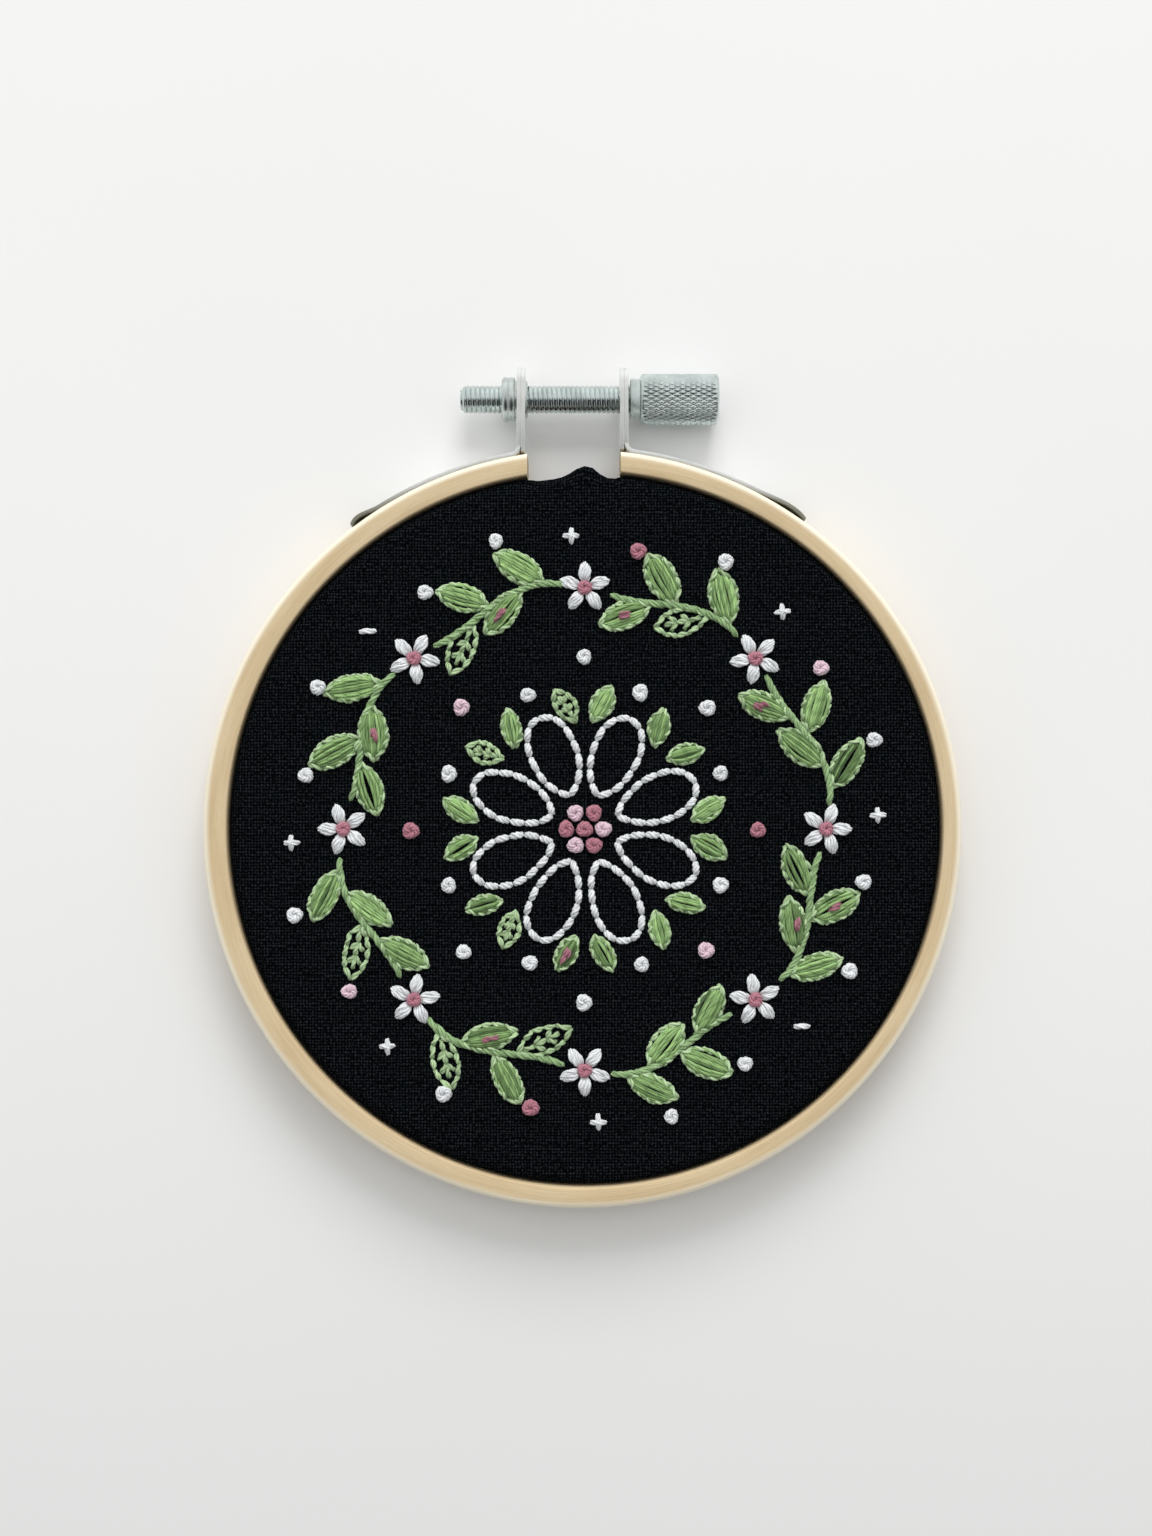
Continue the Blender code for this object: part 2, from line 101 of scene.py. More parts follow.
class Graph:
    """Adds nodes to one node tree and links them."""

    def __init__(self, tree: bpy.types.NodeTree) -> None:
        """Keeps the tree that the nodes go in."""
        self.tree = tree

    def feed(self, socket: Socket, value: object) -> None:
        """Links a socket to another, or sets its own value.

        Args:
            socket: The input to feed.
            value: An output socket, or a plain value.
        """
        if isinstance(value, bpy.types.NodeSocket):
            self.tree.links.new(value, socket)
        else:
            socket.default_value = value

    def add(self, kind: str, inputs: dict | None = None, **settings: object) -> bpy.types.Node:
        """Adds one node.

        Args:
            kind: The node's type name.
            inputs: What feeds each input, by name or index.
            **settings: The node's own properties.

        Returns:
            The new node.
        """
        node = self.tree.nodes.new(kind)
        for name, value in settings.items():
            setattr(node, name, value)
        for key, value in (inputs or {}).items():
            self.feed(node.inputs[key], value)
        return node

    def math(self, operation: str, first: object, second: object = 0.0) -> Socket:
        """Adds a Math node.

        Args:
            operation: The node's operation.
            first: Its first value or socket.
            second: Its second value or socket.

        Returns:
            The result's socket.
        """
        return self.add("ShaderNodeMath", {0: first, 1: second}, operation=operation).outputs[0]

    def mix(self, share: object, first: object, second: object, blend: str = "MIX") -> Socket:
        """Adds a colour Mix node.

        Args:
            share: How much of the second colour shows.
            first: The first colour or socket.
            second: The second colour or socket.
            blend: How the colours are blended.

        Returns:
            The mixed colour's socket.
        """
        inputs = {0: share, 6: first, 7: second}
        return self.add("ShaderNodeMix", inputs, data_type="RGBA", blend_type=blend).outputs[2]

    def noise(self, vector: Socket, scale: float, detail: float = 2.0) -> Socket:
        """Adds a Noise Texture.

        Args:
            vector: Where it is read.
            scale: Its scale.
            detail: How many finer layers it has.

        Returns:
            The value's socket, from 0 to 1.
        """
        inputs = {"Vector": vector, "Scale": scale, "Detail": detail}
        return self.add("ShaderNodeTexNoise", inputs).outputs[0]

    def remap(self, value: Socket, low: float, high: float, to_low: float, to_high: float) -> Socket:
        """Adds a smooth Map Range node.

        Args:
            value: The value to map.
            low: The input that gives to_low.
            high: The input that gives to_high.
            to_low: The lowest result.
            to_high: The highest result.

        Returns:
            The mapped value's socket.
        """
        inputs = {0: value, 1: low, 2: high, 3: to_low, 4: to_high}
        return self.add("ShaderNodeMapRange", inputs, interpolation_type="SMOOTHSTEP").outputs[0]

    def stretched(self, vector: Socket, scale: tuple[float, float, float]) -> Socket:
        """Adds a Mapping node that stretches a pattern.

        Args:
            vector: The coordinates.
            scale: How much each axis is scaled.

        Returns:
            The scaled vector's socket.
        """
        return self.add("ShaderNodeMapping", {"Vector": vector, "Scale": scale}).outputs[0]

    def axes(self, vector: Socket) -> bpy.types.NodeOutputs:
        """Splits a vector and returns its X, Y and Z sockets."""
        return self.add("ShaderNodeSeparateXYZ", {0: vector}).outputs

    def ridges(self, value: Socket) -> Socket:
        """Returns a row of rounded ridges, one for each whole step of the value."""
        return self.math("ABSOLUTE", self.math("SINE", self.math("MULTIPLY", value, pi)))


def rgba(colour: Colour) -> tuple[float, float, float, float]:
    """Returns the colour with full alpha."""
    return (*colour, 1.0)


def new_group(name: str, inputs: dict[str, str], outputs: dict[str, str]) -> bpy.types.NodeTree:
    """Makes a shader node group with its named sockets.

    Args:
        name: The group's name.
        inputs: Each input's name and socket type.
        outputs: Each output's name and socket type.

    Returns:
        The group, with its input and output nodes.
    """
    group = bpy.data.node_groups.new(name, "ShaderNodeTree")
    for label, kind in inputs.items():
        group.interface.new_socket(name=label, in_out="INPUT", socket_type=kind)
    for label, kind in outputs.items():
        group.interface.new_socket(name=label, in_out="OUTPUT", socket_type=kind)
    group.nodes.new("NodeGroupInput")
    group.nodes.new("NodeGroupOutput")
    return group


def group_ends(group: bpy.types.NodeTree) -> tuple[bpy.types.Node, bpy.types.Node]:
    """Returns the group's input node and output node."""
    return group.nodes["Group Input"], group.nodes["Group Output"]


def make_ring_grain() -> bpy.types.NodeTree:
    """Builds the grain of wood that is bent round the hoop's centre.

    Returns:
        The group: fibre is the fine lines along the strip, patch its slow variation, fleck its
        short dark pores, and the rim highlight a mask on the front outer rounding, where a painted
        highlight makes the wood paler.
    """
    group = new_group(
        "ring_grain", {"Position": "NodeSocketVector"},
        {name: "NodeSocketFloat" for name in ("Fibre", "Patch", "Fleck", "PaintedRimHighlight")},
    )
    graph = Graph(group)
    start, end = group_ends(group)
    x, y, z = graph.axes(start.outputs["Position"])
    turn = graph.math("ARCTAN2", x, graph.math("MULTIPLY", y, -1.0))
    squares = graph.math("ADD", graph.math("POWER", x, 2.0), graph.math("POWER", y, 2.0))
    radius = graph.math("SQRT", squares)
    along = graph.math("MULTIPLY", turn, GRAIN_RADIUS)
    bent = graph.add("ShaderNodeCombineXYZ", {0: along, 1: radius, 2: z}).outputs[0]
    fibre = graph.noise(graph.stretched(bent, (90, 5200, 5200)), 1.0, 3.0)
    patch = graph.noise(graph.stretched(bent, (70, 420, 420)), 1.0, 2.0)
    fleck = graph.noise(graph.stretched(bent, (500, 9000, 9000)), 1.0, 1.0)
    graph.feed(end.inputs["Fibre"], fibre)
    graph.feed(end.inputs["Patch"], patch)
    graph.feed(end.inputs["Fleck"], graph.remap(fleck, 0.62, 0.74, 0.0, 1.0))
    # Painted highlight: the front outer rounding is masked to be painted paler, in place of the light it
    # catches.
    outer = graph.remap(radius, 53.9 * MM, 54.8 * MM, 0.0, 1.0)
    front = graph.remap(z, 6.6 * MM, 8.2 * MM, 0.0, 1.0)
    graph.feed(end.inputs["PaintedRimHighlight"], graph.math("MULTIPLY", outer, front))
    return group


def make_thread_twist() -> bpy.types.NodeTree:
    """Builds the fine filaments that wind round one strand of thread.

    Returns:
        The group: height is the strand's fine relief, and groove masks the painted shade between filaments.
    """
    group = new_group(
        "thread_twist", {"Strand": "NodeSocketVector"},
        {"Height": "NodeSocketFloat", "Groove": "NodeSocketFloat"},
    )
    graph = Graph(group)
    start, end = group_ends(group)
    around, along = graph.axes(start.outputs["Strand"])[:2]
    ply = graph.math("ADD", graph.math("MULTIPLY", around, 2.0), graph.math("MULTIPLY", along, 0.8))
    fine = graph.math("ADD", graph.math("MULTIPLY", around, 10.0), graph.math("MULTIPLY", along, 2.6))
    height = graph.math("ADD", graph.ridges(ply), graph.math("MULTIPLY", graph.ridges(fine), 0.35))
    graph.feed(end.inputs["Height"], height)
    graph.feed(end.inputs["Groove"], graph.remap(height, 0.1, 0.9, 0.0, 1.0))
    return group


def make_plated_wear() -> bpy.types.NodeTree:
    """Builds the faint smudges and drawing lines of plated steel.

    Returns:
        The group: smudge is the slow variation, and lines is the fine one.
    """
    group = new_group(
        "plated_wear", {"Position": "NodeSocketVector"},
        {"Smudge": "NodeSocketFloat", "Lines": "NodeSocketFloat"},
    )
    graph = Graph(group)
    start, end = group_ends(group)
    position = start.outputs["Position"]
    graph.feed(end.inputs["Smudge"], graph.noise(position, 420.0, 3.0))
    graph.feed(end.inputs["Lines"], graph.noise(graph.stretched(position, (6000, 900, 6000)), 1.0, 2.0))
    return group


@dataclass
class Effects:
    """The shader groups that several finishes share."""

    ring_grain: bpy.types.NodeTree = field(default_factory=make_ring_grain)
    thread_twist: bpy.types.NodeTree = field(default_factory=make_thread_twist)
    plated_wear: bpy.types.NodeTree = field(default_factory=make_plated_wear)


def new_material(name: str) -> tuple[bpy.types.Material, Graph, bpy.types.Node]:
    """Makes a material and returns it with its graph and its Principled shader."""
    made = bpy.data.materials.new(name)
    made.use_nodes = True
    return made, Graph(made.node_tree), made.node_tree.nodes["Principled BSDF"]


def bumped(graph: Graph, shader: bpy.types.Node, height: Socket, depth: float) -> None:
    """Gives a shader a fine relief.

    Args:
        graph: The material's graph.
        shader: Its shader.
        height: The relief's height, about 0 to 1.
        depth: The relief's real depth.
    """
    bump = graph.add("ShaderNodeBump", {"Height": height, "Distance": depth, "Strength": 1.0})
    graph.feed(shader.inputs["Normal"], bump.outputs[0])


@dataclass(frozen=True)
class WoodFinish:
    """Fine sanded pale wood bent round the hoop."""

    name: str
    light: Colour
    dark: Colour
    centre: tuple[float, float, float]
    fleck: Colour = (0.42, 0.29, 0.16)
    # Painted highlight: the cream colour painted on the front outer rounding.
    painted_rim_highlight: Colour = (0.93, 0.87, 0.72)
    grain_depth: float = 0.05 * MM
    roughness: tuple[float, float] = (0.5, 0.66)
    specular: float = 0.3

    def build(self, effects: Effects) -> bpy.types.Material:
        """Builds the material.

        Args:
            effects: The shared shader groups.

        Returns:
            The finished material.
        """
        made, graph, shader = new_material(self.name)
        object_place = graph.add("ShaderNodeTexCoord").outputs["Object"]
        away = tuple(-value for value in self.centre)
        centred = graph.add("ShaderNodeMapping", {"Vector": object_place, "Location": away}).outputs[0]
        grain = graph.add("ShaderNodeGroup", node_tree=effects.ring_grain)
        graph.feed(grain.inputs["Position"], centred)
        patch = graph.remap(grain.outputs["Patch"], 0.3, 0.7, 0.0, 1.0)
        lines = graph.remap(grain.outputs["Fibre"], 0.35, 0.65, 0.0, 1.0)
        tone = graph.math("ADD", graph.math("MULTIPLY", patch, 0.6), graph.math("MULTIPLY", lines, 0.4))
        colour = graph.mix(tone, rgba(self.light), rgba(self.dark))
        flecks = graph.math("MULTIPLY", grain.outputs["Fleck"], 0.35)
        flecked = graph.mix(flecks, colour, rgba(self.fleck))
        # Painted highlight: the rounding's mask mixes the wood towards the cream highlight colour.
        painted_rim_highlight = graph.math("MULTIPLY", grain.outputs["PaintedRimHighlight"], 0.9)
        graph.feed(shader.inputs["Base Color"], graph.mix(painted_rim_highlight, flecked, rgba(self.painted_rim_highlight)))
        rough = graph.remap(grain.outputs["Fibre"], 0.3, 0.7, *self.roughness)
        graph.feed(shader.inputs["Roughness"], rough)
        shader.inputs["Specular IOR Level"].default_value = self.specular
        bumped(graph, shader, grain.outputs["Fibre"], self.grain_depth)
        return made


@dataclass(frozen=True)
class CottonFinish:
    """Matt black plain weave, whose threads follow the cloth's own flat cut."""

    name: str
    colour: Colour
    # Lighter colour: real lint, and painted highlight on the weave's crowns.
    lint_and_crown_highlight: Colour
    flat_width: float
    thread_pitch: float = 0.44 * MM
    weave_depth: float = 0.07 * MM
    slub: float = 0.8
    uneven_scale: float = 300.0
    roughness: float = 0.9
    specular: float = 0.005

    def build(self, effects: Effects) -> bpy.types.Material:
        """Builds the material.

        Args:
            effects: The shared shader groups, which this finish has no use for.

        Returns:
            The finished material.
        """
        made, graph, shader = new_material(self.name)
        flat = graph.add("ShaderNodeUVMap", uv_map="flat_cut").outputs[0]
        count = self.flat_width / self.thread_pitch
        slub = graph.noise(graph.stretched(flat, (30, 260, 1)), 1.0, 2.0)
        shift = graph.math("MULTIPLY", slub, self.slub)
        axes = graph.axes(graph.stretched(flat, (count, count, 1)))
        across, along = (graph.math("ADD", axes[axis], shift) for axis in (0, 1))
        warp = self.thread(graph, across, along, 0.0)
        weft = self.thread(graph, along, across, 1.0)
        weave = graph.math("MAXIMUM", warp, weft)
        uneven = graph.noise(flat, self.uneven_scale, 3.0)
        # Partly real, partly painted light: random patches of lint show lighter, and the weave's crowns are
        # painted lighter and its hollows darker, as painted highlight and painted shade.
        shade = graph.math("MULTIPLY", graph.remap(weave, 0.35, 0.95, 0.0, 1.0),
                           graph.remap(uneven, 0.38, 0.64, 0.05, 1.0))
        colour = graph.mix(shade, rgba(self.colour), rgba(self.lint_and_crown_highlight))
        graph.feed(shader.inputs["Base Color"], colour)
        shader.inputs["Roughness"].default_value = self.roughness
        shader.inputs["Specular IOR Level"].default_value = self.specular
        bumped(graph, shader, weave, self.weave_depth)
        return made

    def thread(self, graph: Graph, across: Socket, along: Socket, phase: float) -> Socket:
        """Builds the height of one set of threads, which pass over every other crossing.

        Args:
            graph: The material's graph.
            across: The place across the threads, in threads.
            along: The place along them, in threads of the other set.
            phase: 0 or 1, whether they start over or under.

        Returns:
            The height's socket, from 0 to 1.
        """
        step = graph.math("ADD", graph.math("ADD", along, graph.math("FLOOR", across)), phase - 0.5)
        over = graph.math("COSINE", graph.math("MULTIPLY", step, pi))
        raised = graph.math("ADD", graph.math("MULTIPLY", over, 0.5), 0.5)
        return graph.math("MULTIPLY", graph.ridges(across), raised)


@dataclass(frozen=True)
class ThreadFinish:
    """Stranded cotton thread with a soft gloss."""

    name: str
    colour: Colour
    shade: Colour
    relief: float = 0.05 * MM
    roughness: float = 0.55
    specular: float = 0.25
    sheen: float = 0.15
    sheen_roughness: float = 0.4

    def build(self, effects: Effects) -> bpy.types.Material:
        """Builds the material.

        Args:
            effects: The shared shader groups.

        Returns:
            The finished material.
        """
        made, graph, shader = new_material(self.name)
        strand = graph.add("ShaderNodeUVMap", uv_map="strand").outputs[0]
        twist = graph.add("ShaderNodeGroup", {"Strand": strand}, node_tree=effects.thread_twist)
        tone = graph.add("ShaderNodeAttribute", attribute_name="tone").outputs["Fac"]
        # Painted shade: the thread darkens towards its shade colour between the filaments, and its tone
        # varies at random by strand.
        lit = graph.math("MULTIPLY", graph.remap(twist.outputs["Groove"], 0.0, 1.0, 0.35, 1.0), tone)
        graph.feed(shader.inputs["Base Color"], graph.mix(lit, rgba(self.shade), rgba(self.colour)))
        shader.inputs["Roughness"].default_value = self.roughness
        shader.inputs["Specular IOR Level"].default_value = self.specular
        shader.inputs["Sheen Weight"].default_value = self.sheen
        shader.inputs["Sheen Roughness"].default_value = self.sheen_roughness
        bumped(graph, shader, twist.outputs["Height"], self.relief)
        return made


@dataclass(frozen=True)
class PlatedFinish:
    """Plated steel with faint smudges, and painted shade that can darken it away from the middle of the
    hoop.
    """

    name: str
    bright: Colour
    dull: Colour
    roughness: float
    # Painted shade: an olive-grey colour that darkens the plate away from the hoop's middle.
    painted_end_shade: Colour | None = None
    painted_end_shade_reach: tuple[float, float] = (21 * MM, 33 * MM)
    grain: float = 0.004 * MM

    def build(self, effects: Effects) -> bpy.types.Material:
        """Builds the material.

        Args:
            effects: The shared shader groups.

        Returns:
            The finished material.
        """
        made, graph, shader = new_material(self.name)
        place = graph.add("ShaderNodeTexCoord").outputs["Object"]
        wear = graph.add("ShaderNodeGroup", {"Position": place}, node_tree=effects.plated_wear)
        smudge = graph.remap(wear.outputs["Smudge"], 0.35, 0.7, 0.0, 1.0)
        colour = graph.mix(smudge, rgba(self.bright), rgba(self.dull))
        # Painted shade: the strap ends darken towards the olive-grey, in place of the darker reflections
        # they show.
        if self.painted_end_shade:
            across = graph.math("ABSOLUTE", graph.axes(place)[0])
            end_shade_share = graph.remap(across, *self.painted_end_shade_reach, 0.0, 1.0)
            colour = graph.mix(end_shade_share, colour, rgba(self.painted_end_shade))
        graph.feed(shader.inputs["Base Color"], colour)
        low, high = self.roughness - 0.05, self.roughness + 0.1
        graph.feed(shader.inputs["Roughness"], graph.remap(wear.outputs["Smudge"], 0.3, 0.7, low, high))
        shader.inputs["Metallic"].default_value = 1.0
        bumped(graph, shader, wear.outputs["Lines"], self.grain)
        return made


# Modelling helpers


def deselect_all() -> None:
    """Leaves edit mode and deselects every object."""
    if bpy.context.mode != "OBJECT":
        bpy.ops.object.mode_set(mode="OBJECT")
    bpy.ops.object.select_all(action="DESELECT")


def select_only(obj: bpy.types.Object) -> None:
    """Selects one object and makes it the active one."""
    deselect_all()
    obj.select_set(True)
    bpy.context.view_layer.objects.active = obj


def linked_object(mesh: bpy.types.Mesh) -> bpy.types.Object:
    """Puts a finished mesh in the scene and returns its object, which has the mesh's name."""
    made = bpy.data.objects.new(mesh.name, mesh)
    bpy.context.scene.collection.objects.link(made)
    return made


def edit_only(obj: bpy.types.Object) -> None:
    """Selects one object and enters its edit mode with vertices selectable."""
    select_only(obj)
    bpy.ops.object.mode_set(mode="EDIT")
    bpy.ops.mesh.select_mode(type="VERT")


def select_vertices(obj: bpy.types.Object, test: Callable[[Vector], bool]) -> None:
    """Selects the vertices in edit mode that pass a test.

    Args:
        obj: The object in edit mode.
        test: Says of a vertex's place whether it is selected.
    """
    shape = bmesh.from_edit_mesh(obj.data)
    for vertex in shape.verts:
        vertex.select = test(vertex.co)
    shape.select_flush_mode()
    shape.select_flush(True)
    bmesh.update_edit_mesh(obj.data)


def upright_profile(name: str, centre: Vector, turn: float, radius: float, width: float,
                    height: float, floor: float = 0.0) -> bpy.types.Object:
    """Adds a rectangle that stands on end, ready to be spun round the hoop's axis.

    Args:
        name: The piece's name.
        centre: The hoop's centre.
        turn: Where round the hoop the profile stands.
        radius: The distance of its middle from the axis.
        width: Its size away from the axis.
        height: Its size along the axis.
        floor: Its lowest height.

    Returns:
        The profile's object, with its edges only.
    """
    deselect_all()
    place = centre + Vector((radius * cos(turn), radius * sin(turn), floor + height / 2))
    bpy.ops.mesh.primitive_plane_add(size=1, location=place, rotation=(pi / 2, 0, turn))
    profile = bpy.context.object
    profile.name = name
    profile.data.name = name
    profile.scale = (width, height, 1)
    bpy.ops.object.transform_apply(location=True, rotation=True, scale=True)
    edit_only(profile)
    bpy.ops.mesh.select_all(action="SELECT")
    bpy.ops.mesh.delete(type="ONLY_FACE")
    return profile


def close_surface(merge: float = 0.001 * MM) -> None:
    """Merges doubles and turns all faces outwards, in edit mode."""
    bpy.ops.mesh.select_all(action="SELECT")
    bpy.ops.mesh.remove_doubles(threshold=merge)
    bpy.ops.mesh.normals_make_consistent(inside=False)


def finish_shape(obj: bpy.types.Object, sharp_angle: float = 35) -> bpy.types.Object:
    """Shades a finished mesh smooth, but for its sharp edges.

    Args:
        obj: The object.
        sharp_angle: The angle in degrees past which an edge stays sharp.

    Returns:
        The same object.
    """
    select_only(obj)
    bpy.ops.object.shade_smooth_by_angle(angle=radians(sharp_angle))
    deselect_all()
    return obj


def dress(obj: bpy.types.Object, material: bpy.types.Material, body: Body,
          nodes: tuple[str, ...] = ()) -> None:
    """Gives a piece its material, its body and the nodes that it stands for.

    Args:
        obj: The piece.
        material: Its material.
        body: The body that it rides on.
        nodes: The CAD nodes that it replaces.
    """
    obj.data.materials.clear()
    obj.data.materials.append(material)
    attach(obj, body.value)
    if nodes:
        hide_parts(*nodes)
    log.info("%s: %d faces on %s", obj.name, len(obj.data.polygons), body.value)


# Rings


@dataclass
class WoodRings:
    """The split outer ring and the full inner ring."""

    centre: Vector
    outer_radius: float = 55.1 * MM
    bore: float = 52.0 * MM
    depth: float = 9.0 * MM
    bore_offset: float = 0.37 * MM
    front_rounding: float = 0.9 * MM
    edge_easing: float = 0.3 * MM
    split_left: float = -8.0 * MM
    split_right: float = 5.6 * MM
    inner_radius: float = 50.4 * MM
    inner_width: float = 3.0 * MM
    inner_depth: float = 7.4 * MM
    steps: int = 240

    def distance(self, place: Vector) -> float:
        """Returns a place's distance from the hoop's axis."""
        return hypot(place.x - self.centre.x, place.y - self.centre.y)

    def build_outer(self) -> bpy.types.Object:
        """Spins the rounded profile round the hoop and cuts both ends of the split square.

        Returns:
            The outer ring.
        """
        middle = (self.outer_radius + self.bore) / 2
        spare = 1.0 * MM
        start = pi / 2 - asin((self.split_right - spare) / middle)
        end = pi / 2 - asin((self.split_left + spare) / middle)
        ring = upright_profile("wooden_outer_ring", self.centre, start, middle,
                               self.outer_radius - self.bore, self.depth)
        select_vertices(ring, lambda co: self.distance(co) > middle and co.z > self.depth / 2)
        bpy.ops.mesh.bevel(offset=self.front_rounding, segments=6, affect="VERTICES")
        select_vertices(ring, lambda co: co.z < self.edge_easing / 2 or (
            self.distance(co) < middle and co.z > self.depth - self.edge_easing / 2))
        bpy.ops.mesh.bevel(offset=self.edge_easing, segments=3, affect="VERTICES")
        bpy.ops.mesh.select_all(action="SELECT")
        bpy.ops.mesh.spin(steps=self.steps, angle=tau - (end - start), center=self.centre, axis=(0, 0, 1))
        select_vertices(ring, lambda co: self.distance(co) < middle)
        bpy.ops.transform.translate(value=(self.bore_offset, 0, 0))
        for edge, side in ((self.split_right, 1), (self.split_left, -1)):
            select_vertices(ring, lambda co, side=side: co.y > 0 and side * co.x > 0)
            bpy.ops.mesh.bisect(plane_co=(edge, 0, 0), plane_no=(1, 0, 0), use_fill=True,
                                clear_inner=side > 0, clear_outer=side < 0)
        close_surface()
        return finish_shape(ring)

    def build_inner(self) -> bpy.types.Object:
        """Spins the inner ring's profile all the way round.

        Returns:
            The inner ring.
        """
        axis = self.centre + Vector((self.bore_offset, 0, 0))
        ring = upright_profile("wooden_inner_ring", axis, pi / 2, self.inner_radius - self.inner_width / 2,
                               self.inner_width, self.inner_depth)
        bpy.ops.mesh.select_all(action="SELECT")
        bpy.ops.mesh.bevel(offset=self.edge_easing, segments=3, affect="VERTICES")
        bpy.ops.mesh.select_all(action="SELECT")
        bpy.ops.mesh.spin(steps=self.steps, angle=tau, center=axis, axis=(0, 0, 1))
        close_surface()
        return finish_shape(ring)

    def build(self, effects: Effects) -> None:
        """Builds and dresses both rings.

        Args:
            effects: The shared shader groups.
        """
        pale = WoodFinish("pale_wood", (0.70, 0.56, 0.355), (0.60, 0.455, 0.27), tuple(self.centre))
        plain = WoodFinish("plain_wood", (0.66, 0.51, 0.32), (0.54, 0.39, 0.22), tuple(self.centre))
        dress(self.build_outer(), pale.build(effects), Body.HOOP, ("outer_ring",))
        dress(self.build_inner(), plain.build(effects), Body.HOOP, ("inner_ring",))


# Cloth


